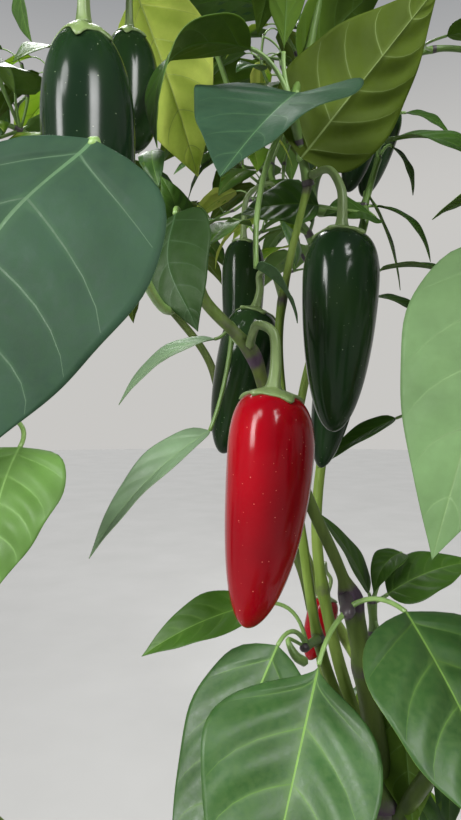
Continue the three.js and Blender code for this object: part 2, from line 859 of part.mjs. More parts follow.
// Whether a place is inside the rounded space of a mass, stretched by a factor for the leaves
// that fringe it.
const isWithin = ({ x, y, z }, [[cx, cy, cz], [hx, hy, hz]], stretch) =>
  ((x - cx) / hx) ** 2 + ((y - cy) / hy) ** 2 + ((z - cz) / hz) ** 2 < stretch ** 2;

// Everything that stands so far, as places with the room that each one needs round it.
const taken = [];

const take = (places, room) => places.forEach((place) => taken.push({ place, room }));

const isFree = (places, room, space, stretch) =>
  places.every(
    (place) =>
      place.z > 25 &&
      isWithin(place, space, stretch) &&
      !isOpen(place) &&
      taken.every((other) => other.place.distanceTo(place) > other.room + room),
  );

// A leaf grown at a node: its stalk rises outwards, and its blade droops with the face up.
const grownLeaf = (node, bearing, droop, length, tilt) => {
  const outward = new THREE.Vector3(Math.cos(bearing), Math.sin(bearing), 0);
  const reach = 0.36 * length;
  const base = node.clone().addScaledVector(outward, 0.85 * reach);
  base.z += 0.5 * reach;
  const tip = base.clone().addScaledVector(outward, Math.cos(droop) * length);
  tip.z -= Math.sin(droop) * length;
  const face = new THREE.Vector3(tilt * outward.y, -tilt * outward.x, 1);
  const shape = { width: 0.5 * length, arch: 0.12, fold: 0.14, knee: null, detail: 'coarse' };
  return { root: node, base, tip, face, ...shape };
};

// Sets one leaf at a node, at the first of a few bearings where it has room.
const leafAtNode = (mass, node, bearing, random) => {
  const length = mass.blade * (0.78 + 0.4 * random());
  const droop = 0.15 + 0.7 * random();
  const tilt = 0.8 * (random() - 0.5);
  for (const turn of [0, 0.7, -0.7, 1.4, -1.4]) {
    const candidate = grownLeaf(node, bearing + turn, droop, length, tilt);
    const places = bladePlaces(candidate);
    if (isFree(places, BLADE_SPACING, mass.space, FRINGE)) {
      take(places, BLADE_SPACING);
      return [candidate];
    }
  }
  return [];
};

// Twigs fork in two from a node, each pair turned a quarter from the last and shorter than it.
// The first of a pair carries on the twig that it grows from.
const growTwigs = (mass, grown, twig, heading, spread, level, random) => {
  const node = twig.places.at(-1);
  let onward = twig;
  for (const sign of level < mass.levels ? [-1, 1] : []) {
    const angle = FORK_ANGLE * (0.75 + 0.5 * random());
    const length = mass.internode * SHRINK ** level * (0.85 + 0.3 * random());
    const direction = heading
      .clone()
      .multiplyScalar(Math.cos(angle))
      .addScaledVector(spread, sign * Math.sin(angle));
    direction.z += UPTURN;
    direction.normalize();
    const end = node.clone().addScaledVector(direction, length);
    const places = [0.5, 0.75, 1].map((share) => node.clone().lerp(end, share));
    const bearing = Math.atan2(direction.y, direction.x);
    const turn = 1.2 * (random() - 0.5);
    if (isFree(places, TWIG_SPACING, mass.space, 1)) {
      take(places, TWIG_SPACING - 2);
      const radius = TWIG_RADIUS * 0.84 ** level;
      if (!onward) {
        onward = { places: [node], radii: [0.6 * radius] };
        grown.twigs.push(onward);
      }
      onward.places.push(end);
      onward.radii.push(0.88 * radius);
      for (const side of [0, 2.1, -2.1]) {
        grown.leaves.push(...leafAtNode(mass, end, bearing + turn + side, random));
      }
      const next = direction.clone().cross(spread).normalize();
      growTwigs(mass, grown, onward, direction, next, level + 1, random);
      onward = null;
    }
  }
};

const twigOf = (places, from, to) => ({
  places: places.map(toVector),
  radii: places.map((place, i) => from + ((to - from) * i) / (places.length - 1)),
});

// Marks the room that limbs, pods and the hand-set leaves take up, before anything is grown.
const takeFixedRoom = () => {
  Object.entries(limbCurves).forEach(([name, curve]) => {
    take(curve.getSpacedPoints(40), limbs[name].radii[0] + 1);
  });
  Object.values(pods).forEach((pod) => {
    const line = new THREE.LineCurve3(toVector(pod.top), toVector(pod.tip));
    take(line.getSpacedPoints(7), pod.radius);
  });
  Object.values(masses).forEach((mass) => {
    mass.leaves.forEach((one) => take(bladePlaces(one), BLADE_SPACING));
    mass.leaves.forEach((one) => take(petioleCurve(one).getPoints(4).slice(1), 3));
    mass.stem.slice(1).forEach((place, i) => {
      take([toVector(place).lerp(toVector(mass.stem[i]), 0.5)], 3);
    });
  });
};

takeFixedRoom();

const limbSolids = {};
const grownLimbs = {};

// A limb that bends round a wide gap is made as two pieces, which meet square to it at the bend.
const splitAtBend = (name) => {
  const share = limbs[name].bend;
  const ahead = limbCurves[name].getTangentAt(share);
  const reach = limbCurves[name].getPointAt(share).dot(ahead);
  const back = ahead.clone().negate();
  const whole = limbSolids[name];
  limbSolids[`${name}_lower`] = whole.trimByPlane(back.toArray(), CLEARANCE / 2 - reach);
  limbSolids[`${name}_upper`] = whole.trimByPlane(ahead.toArray(), CLEARANCE / 2 + reach);
  delete limbSolids[name];
};

Object.keys(limbs).forEach((name) => {
  const earlier = Object.values(grownLimbs);
  const whole = earlier.length ? limbSolid(name).subtract(Manifold.union(earlier)) : limbSolid(name);
  limbSolids[name] = largest(whole);
  grownLimbs[name] = limbSolid(name, CLEARANCE * 1.1);
});
limbSolids.main_stem = limbSolids.main_stem.trimByPlane([0, 0, 1], 0);
Object.keys(limbs).filter((name) => limbs[name].bend).forEach(splitAtBend);
const allLimbs = Manifold.union(Object.values(grownLimbs));

const podSolids = Object.fromEntries(
  Object.entries(pods).map(([name, pod]) => [name, podSolid(pod)]),
);

// One mass: its stem, twigs, leaves and fruit stalks fused together, cut clear of the limbs.
const massSolid = (mass) => {
  const stem = twigOf(mass.stem, mass.radius, 0.8 * mass.radius);
  const side = (mass.twigs ?? []).map((places) => twigOf(places, 1.9, 1.5));
  const grown = { twigs: [stem, ...side], leaves: [...mass.leaves] };
  if (mass.space) {
    const heading = toVector(mass.heading).normalize();
    const spread = heading.clone().cross(toVector([0, 1, 0.2])).normalize();
    growTwigs(mass, grown, stem, heading, spread, 0, seeded(mass.seed));
  }
  const pieces = [
    ...grown.twigs.map(twigSolid),
    ...grown.leaves.map(leafSolid),
    ...(mass.pods ?? []).map((name) => calyxAndStalk(pods[name])),
    ...(mass.buds ?? []).map((bud) => bentLathe(() => bud.radius, smoothPath(bud.path), 5, 4)),
  ];
  return largest(Manifold.union(pieces).subtract(allLimbs));
};

const toMesh = (name, solid, colour, roughness) => {
  const { vertProperties, triVerts, numProp } = solid.getMesh();
  const geometry = new THREE.BufferGeometry();
  const places = new Float32Array((vertProperties.length / numProp) * 3);
  for (let i = 0; i < places.length / 3; i += 1) {
    places.set(vertProperties.subarray(i * numProp, i * numProp + 3), i * 3);
  }
  geometry.setAttribute('position', new THREE.BufferAttribute(places, 3));
  geometry.setIndex(new THREE.BufferAttribute(new Uint32Array(triVerts), 1));
  geometry.computeVertexNormals();
  const material = new THREE.MeshStandardMaterial({ color: colour, roughness, metalness: 0 });
  const mesh = new THREE.Mesh(geometry, material);
  mesh.name = name;
  return mesh;
};

const plant = new THREE.Group();
plant.name = 'chilli_pepper_plant';

Object.entries(limbSolids).forEach(([name, solid]) => {
  plant.add(toMesh(name, solid, colours.stem, 0.75));
});
Object.entries(podSolids).forEach(([name, solid]) => {
  plant.add(toMesh(name, solid, colours[pods[name].colour], 0.25));
});
Object.entries(masses).forEach(([name, mass]) => {
  plant.add(toMesh(name, massSolid(mass), colours.leaf, 0.6));
});
['pod_red_front', 'pod_green_right', 'pod_green_middle', 'pod_red_low'].forEach((name) => {
  const solid = largest(calyxAndStalk(pods[name]).subtract(allLimbs));
  plant.add(toMesh(name.replace('pod', 'stalk'), solid, colours.stalk, 0.6));
});

export default plant;
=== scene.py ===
import math

import bpy
import mathutils
import numpy as np
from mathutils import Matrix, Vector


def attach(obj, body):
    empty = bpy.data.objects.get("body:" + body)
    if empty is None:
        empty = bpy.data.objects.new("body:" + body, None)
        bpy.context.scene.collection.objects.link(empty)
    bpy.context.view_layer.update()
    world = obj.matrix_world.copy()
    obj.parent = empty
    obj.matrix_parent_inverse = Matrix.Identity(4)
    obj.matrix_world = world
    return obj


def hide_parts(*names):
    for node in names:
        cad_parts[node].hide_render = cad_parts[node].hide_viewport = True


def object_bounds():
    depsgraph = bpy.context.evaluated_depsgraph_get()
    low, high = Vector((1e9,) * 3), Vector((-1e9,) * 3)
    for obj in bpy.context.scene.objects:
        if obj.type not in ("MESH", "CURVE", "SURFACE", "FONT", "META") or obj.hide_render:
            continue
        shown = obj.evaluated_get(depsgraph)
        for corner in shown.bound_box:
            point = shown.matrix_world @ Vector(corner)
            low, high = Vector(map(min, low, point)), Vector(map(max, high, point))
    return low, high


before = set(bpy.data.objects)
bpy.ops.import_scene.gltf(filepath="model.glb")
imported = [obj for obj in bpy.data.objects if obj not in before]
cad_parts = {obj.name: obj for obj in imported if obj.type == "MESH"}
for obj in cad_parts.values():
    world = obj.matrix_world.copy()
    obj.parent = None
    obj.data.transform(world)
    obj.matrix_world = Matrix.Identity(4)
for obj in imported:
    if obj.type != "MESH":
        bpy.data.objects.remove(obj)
cad_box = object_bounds()

# A chilli pepper plant in fruit, rooted in the ground. Lengths are millimetres, as in the
# solids, until a mesh is made of them. The same rule and numbers grow the same twigs and leaves
# as in the solids, and then carry them on to finer twigs and leaves in the same spaces.

MM = 0.001
TURN = 2 * math.pi

# The radius of the stem at its root flare, above it and at the fork, and where it forks.
STEM_FLARE = 11
STEM_FOOT = 7.8
STEM_TOP = 6.6
FLARE_HEIGHT = 26
FORK = [-10, 3, 237]

# The rule of growth: the room round blades, round twigs and round stems and stalks, half the
# angle of a fork, how much a twig turns up, its length and its radius against those of the twig
# before, how often twigs fork, how far leaves may stand out of their space, the radius of the
# first twigs, and the lowest height that anything grown may have.
BLADE_SPACING = 4.8
TWIG_SPACING = 4
STEM_ROOM = 3
FORK_ANGLE = 0.55
UPTURN = 0.14
SHRINK = 0.86
THINNING = 0.84
LEVELS = 3
FRINGE = 1.3
TWIG_RADIUS = 2.2
LOWEST = 25

# How deep the three lobes of a pod are, in radii.
LOBES = 0.035

# The crown is kept open towards the front: nothing grown by the seeded rule stands in the
# pyramid seen from this place, unless it is behind one of the screens of leaves and fruit.
# The photograph is taken from the same place, looking level along +Y.
LOOKOUT = [-76, -255, 400]
OPEN_ACROSS = 0.42
OPEN_UP = 0.74
SCREENS = [
    {"left": -0.42, "right": -0.14, "low": 0.02, "high": 0.74, "beyond": 290},
    {"left": -0.24, "right": 0.15, "low": 0.2, "high": 0.74, "beyond": 320},
    {"left": -0.05, "right": 0.42, "low": -0.74, "high": -0.43, "beyond": 290},
]

# The photograph's height in pixels, the distance in pixels at which it is seen, and the height of
# the camera's sensor in millimetres.
PHOTO_HIGH = 820
PHOTO_FOCUS = 600
SENSOR = 36

# Each kind of thing has seeds of its own. The first is that of limbs and pods, the others are
# added to the seed of a mass, for its shoots and for its looks.
LIMB_SEED = 31
SHOOT_SEED = 4000
LOOK_SEED = 900


def vec(place):
    return np.array(place, float)


def unit(direction):
    return direction / math.sqrt(float(direction @ direction))


def smooth_step(x, low, high):
    share = np.clip((x - low) / (high - low), 0, 1)
    return share * share * (3 - 2 * share)


def hump(x, half):
    """A smooth hump of height 1 at 0 that has died away at about twice the half."""
    return np.exp(-((x / half) ** 2))


def seeded(seed):
    """Numbers between 0 and 1 that come out the same each time for the same seed."""
    factor, modulus = 16807, 2147483647
    state = seed

    def draw():
        nonlocal state
        state = (state * factor) % modulus
        return state / modulus

    return draw


def turned(vector, axis, angle):
    """A vector turned about an axis of length 1."""
    return (
        vector * math.cos(angle)
        + np.cross(axis, vector) * math.sin(angle)
        + axis * float(axis @ vector) * (1 - math.cos(angle))
    )


def carried(vector, before, after):
    """A vector turned as the direction before turns into the direction after."""
    axis = np.cross(before, after)
    size = math.sqrt(float(axis @ axis))
    if size < 1e-9:
        return vector
    return turned(vector, axis / size, math.atan2(size, float(before @ after)))


class SmoothPath:
    """A smooth line through places, which can be measured along its length."""

    STEPS = 200

    def __init__(self, places):
        self.places = [vec(place) for place in places]
        self.shares = np.linspace(0, 1, self.STEPS + 1)
        self.line = np.array([self.point(share) for share in self.shares])
        steps = np.linalg.norm(np.diff(self.line, axis=0), axis=1)
        self.lengths = np.concatenate([[0], np.cumsum(steps)])
        self.length = self.lengths[-1]

    def point(self, share):
        places = self.places
        last = len(places) - 1
        step = min(int(math.floor(last * share)), last - 1)
        weight = last * share - step
        b, c = places[step], places[step + 1]
        a = places[step - 1] if step > 0 else 2 * b - c
        d = places[step + 2] if step + 2 <= last else 2 * c - b
        gaps = [float((q - p) @ (q - p)) ** 0.25 for p, q in ((a, b), (b, c), (c, d))]
        start = (b - a) / gaps[0] - (c - a) / (gaps[0] + gaps[1]) + (c - b) / gaps[1]
        end = (c - b) / gaps[1] - (d - b) / (gaps[1] + gaps[2]) + (d - c) / gaps[2]
        start, end = start * gaps[1], end * gaps[1]
        square = -3 * b + 3 * c - 2 * start - end
        cube = 2 * b - 2 * c + start + end
        return b + weight * (start + weight * (square + weight * cube))

    def at(self, share):
        """The place at a share of the length."""
        return self.point(float(np.interp(share * self.length, self.lengths, self.shares)))

    def along(self, shares):
        return np.array([self.at(share) for share in shares])

    def spaced(self, count):
        return [self.at(i / count) for i in range(count + 1)]

    def share_near(self, place):
        """The share of the length at which the line comes nearest to a place."""
        nearest = int(np.argmin(np.linalg.norm(self.line - vec(place), axis=1)))
        return self.lengths[nearest] / self.length


class MeshParts:
    """Collects surfaces, each face with the number of its material, and makes one mesh of them."""

    def __init__(self):
        self.places = []
        self.faces = []
        self.numbers = []
        self.flat = []
        self.pale = []
        self.count = 0

    def add(self, places, faces, numbers, pale=None):
        """Adds places and faces of three or four corners. One number may stand for all faces."""
        self.places.append(np.asarray(places, float))
        self.pale.append(np.zeros(len(places)) if pale is None else np.asarray(pale, float))
        self.count += len(places)
        self.extend(faces, numbers)

    def extend(self, faces, numbers, flat=False):
        """Adds more faces on the places that were added last."""
        faces = np.asarray(faces, np.int64)
        self.faces.append(faces + self.count - len(self.places[-1]))
        self.numbers.append(np.broadcast_to(np.asarray(numbers), len(faces)))
        self.flat.append(np.broadcast_to(np.asarray(flat), len(faces)))

    def build(self, name, materials):
        mesh = bpy.data.meshes.new(name)
        places = np.concatenate(self.places) * MM
        mesh.vertices.add(len(places))
        mesh.vertices.foreach_set("co", places.astype(np.float32).ravel())
        sizes = np.concatenate([np.full(len(f), f.shape[1]) for f in self.faces])
        corners = np.concatenate([f.ravel() for f in self.faces])
        mesh.loops.add(len(corners))
        mesh.loops.foreach_set("vertex_index", corners.astype(np.int32))
        mesh.polygons.add(len(sizes))
        starts = np.concatenate([[0], np.cumsum(sizes)[:-1]])
        mesh.polygons.foreach_set("loop_start", starts.astype(np.int32))
        mesh.polygons.foreach_set("material_index", np.concatenate(self.numbers).astype(np.int32))
        mesh.polygons.foreach_set("use_smooth", ~np.concatenate(self.flat).astype(bool))
        pale = mesh.attributes.new("pale", "FLOAT", "POINT")
        pale.data.foreach_set("value", np.concatenate(self.pale).astype(np.float32))
        for material in materials:
            mesh.materials.append(material)
        mesh.update(calc_edges=True)
        mesh.validate()
        piece = bpy.data.objects.new(name, mesh)
        bpy.context.scene.collection.objects.link(piece)
        return piece


def declare(piece, slot_name, *nodes):
    """A finished piece: it moves with the plant and stands for its nodes. Its slot name is not used."""
    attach(piece, "root")
    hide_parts(*nodes)


def ring_angles(sides):
    return np.arange(sides) * TURN / sides


def faces_of(*corners):
    """Faces from their corners in turn. A single number is a corner that all of them share."""
    return np.stack(np.broadcast_arrays(*corners), axis=1)


def grid_faces(rows, columns, closed=False):
    """Faces of four corners between rows of places. A closed grid joins its last column to its first."""
    row, column = np.meshgrid(
        np.arange(rows - 1), np.arange(columns if closed else columns - 1), indexing="ij"
    )
    row, column = row.ravel() * columns, column.ravel()
    onward = (column + 1) % columns
    after = row + columns
    return faces_of(row + column, row + onward, after + onward, after + column)


def end_fans(rows, sides):
    """The faces that close the two ends of a closed grid, each fan round a place after the grid."""
    step = np.arange(sides)
    onward = (step + 1) % sides
    last = (rows - 1) * sides
    foot = faces_of(onward, step, rows * sides)
    head = faces_of(last + step, last + onward, rows * sides + 1)
    return foot, head


def frames_along(line, side=None):
    """Directions along a line of places, with two sides that turn as little as they can."""
    line = np.asarray(line, float)
    ahead = np.gradient(line, axis=0)
    ahead /= np.linalg.norm(ahead, axis=1)[:, None]
    if side is None:
        side = vec([1, 0, 0]) if abs(ahead[0][0]) < 0.8 else vec([0, 1, 0])
    side = unit(side - ahead[0] * float(side @ ahead[0]))
    sides = [side]
    for before, after in zip(ahead[:-1], ahead[1:]):
        side = carried(side, before, after)
        sides.append(unit(side - after * float(side @ after)))
    sides = np.array(sides)
    return ahead, sides, np.cross(ahead, sides)


def add_tube(
    parts, line, radii, sides, numbers=0, relief=None, start_side=None, pale=None, caps=(0.3, 0.3)
):
    """A closed tube along a line. The relief multiplies the radius at each step and angle, and
    the caps say how far its ends stand out, in radii, or 0 where they are flat."""
    line = np.asarray(line, float)
    ahead, across, front = frames_along(line, start_side)
    angles = ring_angles(sides)
    radius = np.asarray(radii, float)[:, None] * np.ones(sides)
    if relief is not None:
        radius = radius * relief
    ring = (
        line[:, None]
        + across[:, None] * (np.cos(angles) * radius)[..., None]
        + front[:, None] * (np.sin(angles) * radius)[..., None]
    )
    count = len(line)
    ends = [line[0] - ahead[0] * caps[0] * radii[0], line[-1] + ahead[-1] * caps[1] * radii[-1]]
    places = np.concatenate([ring.reshape(-1, 3), ends])
    numbers = np.asarray(numbers)
    first = last = numbers
    if numbers.ndim:
        numbers = np.repeat(numbers[:-1], sides)
        first, last = numbers[0], numbers[-1]
    shade = None
    if pale is not None:
        shade = np.concatenate([np.repeat(pale, sides), [pale[0], pale[-1]]])
    parts.add(places, grid_faces(count, sides, closed=True), numbers, shade)
    foot, head = end_fans(count, sides)
    parts.extend(foot, first, not caps[0])
    parts.extend(head, last, not caps[1])


def add_skin(parts, grid, ends):
    """A closed skin whose rings go down its axis, with a place at either end."""
    rows, sides = grid.shape[:2]
    places = np.concatenate([grid.reshape(-1, 3), ends])
    parts.add(places, grid_faces(rows, sides, closed=True)[:, ::-1], 0)
    for fan in end_fans(rows, sides):
        parts.extend(fan[:, [1, 0, 2]], 0)


def leaf(root, base, tip, face, width, arch=0.1, fold=0.12, knee=None):
    """A leaf given one by one: root in the twig, foot and tip of the blade, way it faces, width,
    bend along the middle, fold across it, and where its stalk bends if that isn't plain."""
    knee = knee if knee is None else vec(knee)
    places = {"root": vec(root), "base": vec(base), "tip": vec(tip), "face": vec(face), "knee": knee}
    detail = "near" if width > 25 else "plain"
    return {**places, "width": width, "arch": arch, "fold": fold, "detail": detail}


def blade_axes(one):
    """The direction, side, upper side and length of a blade."""
    along = one["tip"] - one["base"]
    length = math.sqrt(float(along @ along))
    along = along / length
    up = unit(one["face"] - along * float(one["face"] @ along))
    return along, np.cross(along, up), up, length


def blade_line(one, shares):
    """Places on the middle line of a blade, with the upper side there."""
    along, side, up, length = blade_axes(one)
    s = np.asarray(shares, float)[..., None]
    places = one["base"] + along * s * length + up * 4 * one["arch"] * s * (1 - s) * length
    ahead = along + up * 4 * one["arch"] * (1 - 2 * s)
    ahead = ahead / np.linalg.norm(ahead, axis=-1)[..., None]
    return places, ahead, np.cross(side, ahead)


def half_width(one, shares):
    """Half the width of a blade: widest at about a third, pointed at the tip."""
    return 0.5 * one["width"] * 2.7 * shares**0.5 * (1 - shares) ** 1.1


def petiole_line(one, shares):
    """The stalk of a leaf bends once, towards the direction in which its blade sets out."""
    _, ahead, _ = blade_line(one, 0.0)
    root, base, knee = one["root"], one["base"], one["knee"]
    reach = base - root
    reach = math.sqrt(float(reach @ reach))
    knee = knee if knee is not None else base - ahead * (reach / 2)
    s = np.asarray(shares, float)[:, None]
    return (1 - s) ** 2 * root + 2 * s * (1 - s) * knee + s**2 * base


def blade_places(one):
    """Places spread over a blade, by which leaves keep clear of each other."""
    shares = np.array([0.02, 0.2, 0.38, 0.56, 0.74, 0.97])
    places, _, up = blade_line(one, shares)
    side = blade_axes(one)[1]
    across = 0.8 * half_width(one, shares)[:, None]
    lifted = up * one["fold"]
    spread = [places + side * sign * across + lifted * abs(sign) * across for sign in (-1, 0, 1)]
    return np.concatenate(spread)


def limb_of(first, last, path, **more):
    """A limb: the radius at its foot and at its end, and the places that it runs through."""
    return {"radii": [first, last], "path": path, **more}


def pod_of(top, tip, radius, stalk, colour="green", **more):
    """A pod: the middle of its shoulder, its tip, its radius and the places along its stalk."""
    return {"top": top, "tip": tip, "radius": radius, "stalk": stalk, "colour": colour, **more}


def mass_of(radius, stem, leaves=(), **more):
    """A mass: the radius and the places of its stem, and the leaves that are listed. One
    that grows by the rule has a seed, a space (its middle and its half sizes), the direction in
    which it sets out, and the length of its first twigs and of its blades."""
    return {"radius": radius, "stem": stem, "leaves": leaves, "levels": LEVELS, "seed": 7, **more}


LIMBS = {
    "main_stem": limb_of(
        STEM_FOOT, STEM_TOP,
        [[0, 0, -6], [0, 0, 12], [-2, 2, 70], [-7, 4, 140], [-9, 4, 200], FORK],
        flare=STEM_FLARE - STEM_FOOT,
    ),
    "bough_front": limb_of(
        5.1, 3.5,
        [[-10, 1, 234], [-18, -2, 280], [-27, -5, 324], [-44, -10, 363], [-62, -18, 406],
         [-68, -25, 422], [-86, -35, 441], [-89, -40, 450]],
    ),
    "bough_middle": limb_of(
        3.4, 2.5,
        [[-12, 5, 236], [-26, 12, 266], [-36, 14, 295], [-44, 11, 342], [-51, 9, 387],
         [-55, 7, 431], [-51, 8, 461], [-42, 7, 499]],
    ),
    "bough_right_back": limb_of(
        4.2, 2.8,
        [[-9, 8, 232], [-18, 28, 258], [-26, 42, 290], [-33, 45, 340], [-25, 50, 405],
         [-14, 55, 456]],
    ),
    "bough_right": limb_of(
        4.4, 2.9, [[-6, 2, 228], [20, 2, 262], [62, -4, 310], [98, -8, 362], [118, -10, 412]]
    ),
    "bough_right_front": limb_of(
        3.9, 2.7, [[-8, -2, 224], [6, -26, 270], [22, -56, 330], [34, -82, 378], [42, -98, 420]]
    ),
    "bough_back": limb_of(
        4, 2.8,
        [[-7, 8, 226], [-4, 54, 258], [-22, 96, 290], [-40, 122, 350], [-30, 130, 410],
         [-15, 130, 472]],
    ),
    "bough_back_left": limb_of(
        4, 2.8,
        [[-8, 8, 206], [-22, 48, 240], [-28, 78, 276], [-36, 94, 312], [-56, 112, 344],
         [-76, 124, 378], [-90, 136, 432], [-118, 140, 470]],
    ),
    "bough_left": limb_of(
        4.2, 2.7,
        [[-5, 3, 142], [-60, 16, 172], [-122, 20, 184], [-178, 12, 214], [-203, 0, 272],
         [-205, -10, 346]],
        bend=0.6,
    ),
    "bough_low_right": limb_of(
        3.6, 2.6, [[-3, 1, 160], [30, -22, 190], [66, -42, 218], [86, -50, 246]]
    ),
}

PODS = {
    "pod_red_front": pod_of(
        [-61, -40, 406], [-70, -40, 322], 15.8,
        [[-69, -27.5, 424.5], [-66, -37, 431], [-61, -40, 428]], "red", bow=[1.5, 0, 0], fine=True,
    ),
    "pod_green_right": pod_of(
        [-30.5, -9, 473], [-34, -9, 391], 15.6,
        [[-41, 4, 501.5], [-35, -3, 501], [-30.5, -8, 491]], fine=True,
    ),
    "pod_green_top": pod_of(
        [-124, -54, 530], [-123, -54, 462], 15.2,
        [[-131, -29, 566], [-128, -48, 562], [-125, -54, 549]], fine=True,
    ),
    "pod_green_top_behind": pod_of(
        [-116.5, -14, 552], [-116, -14, 503], 10.8,
        [[-131, -26, 566], [-124, -17, 576], [-117, -14, 571]],
    ),
    "pod_green_middle": pod_of(
        [-64, 35, 448], [-80, 35, 379], 13.6, [[-53, 9, 448], [-57, 22, 464], [-62, 33, 465]]
    ),
    "pod_green_behind": pod_of(
        [-69, 66, 490], [-71, 66, 416], 11.5, [[-44, 112, 528], [-54, 84, 528], [-67, 67, 514]]
    ),
    "pod_pair_left": pod_of(
        [2, 78, 572], [-11, 78, 521], 9.6, [[11, 112, 601], [7, 92, 607], [3, 79, 593]]
    ),
    "pod_pair_right": pod_of(
        [16, 93, 576], [1, 94, 524], 9.6, [[12, 112, 602], [17, 101, 610], [17, 94, 599]]
    ),
    "pod_green_low": pod_of(
        [-22, 25, 440], [-34, 25, 373], 10.6, [[-13, 55, 458], [-16, 38, 466], [-21, 26, 457]]
    ),
    "pod_red_low": pod_of(
        [-25.5, 62, 301], [-34.5, 62, 268], 8,
        [[-29, 46, 312], [-27, 55, 321], [-25.5, 61, 315]], "red",
    ),
    "pod_right_outer": pod_of(
        [152, -34, 432], [155, -36, 356], 14.5, [[124, -12, 432], [140, -28, 452], [151, -34, 450]]
    ),
    "pod_right_inner": pod_of(
        [98, -42, 398], [94, -42, 320], 14,
        [[119, -11, 420], [106, -36, 426], [99, -42, 416]], "red",
    ),
    "pod_right_front": pod_of(
        [62, -128, 408], [64, -130, 334], 14, [[44, -100, 426], [56, -122, 438], [62, -128, 428]]
    ),
    "pod_left": pod_of(
        [-224, 20, 348], [-228, 22, 274], 14, [[-205, -8, 358], [-218, 12, 376], [-224, 20, 367]]
    ),
    "pod_back": pod_of(
        [-6, 153, 462], [-5, 155, 394], 13.5,
        [[-14, 131, 484], [-9, 148, 492], [-6, 153, 480]], "red",
    ),
    "pod_back_left": pod_of(
        [-176, 152, 534], [-181, 154, 464], 13.5,
        [[-147, 138, 530], [-164, 150, 560], [-175, 152, 553]],
    ),
    "pod_low_right": pod_of(
        [112, -72, 238], [115, -74, 172], 13, [[88, -52, 252], [102, -66, 268], [111, -72, 257]]
    ),
}

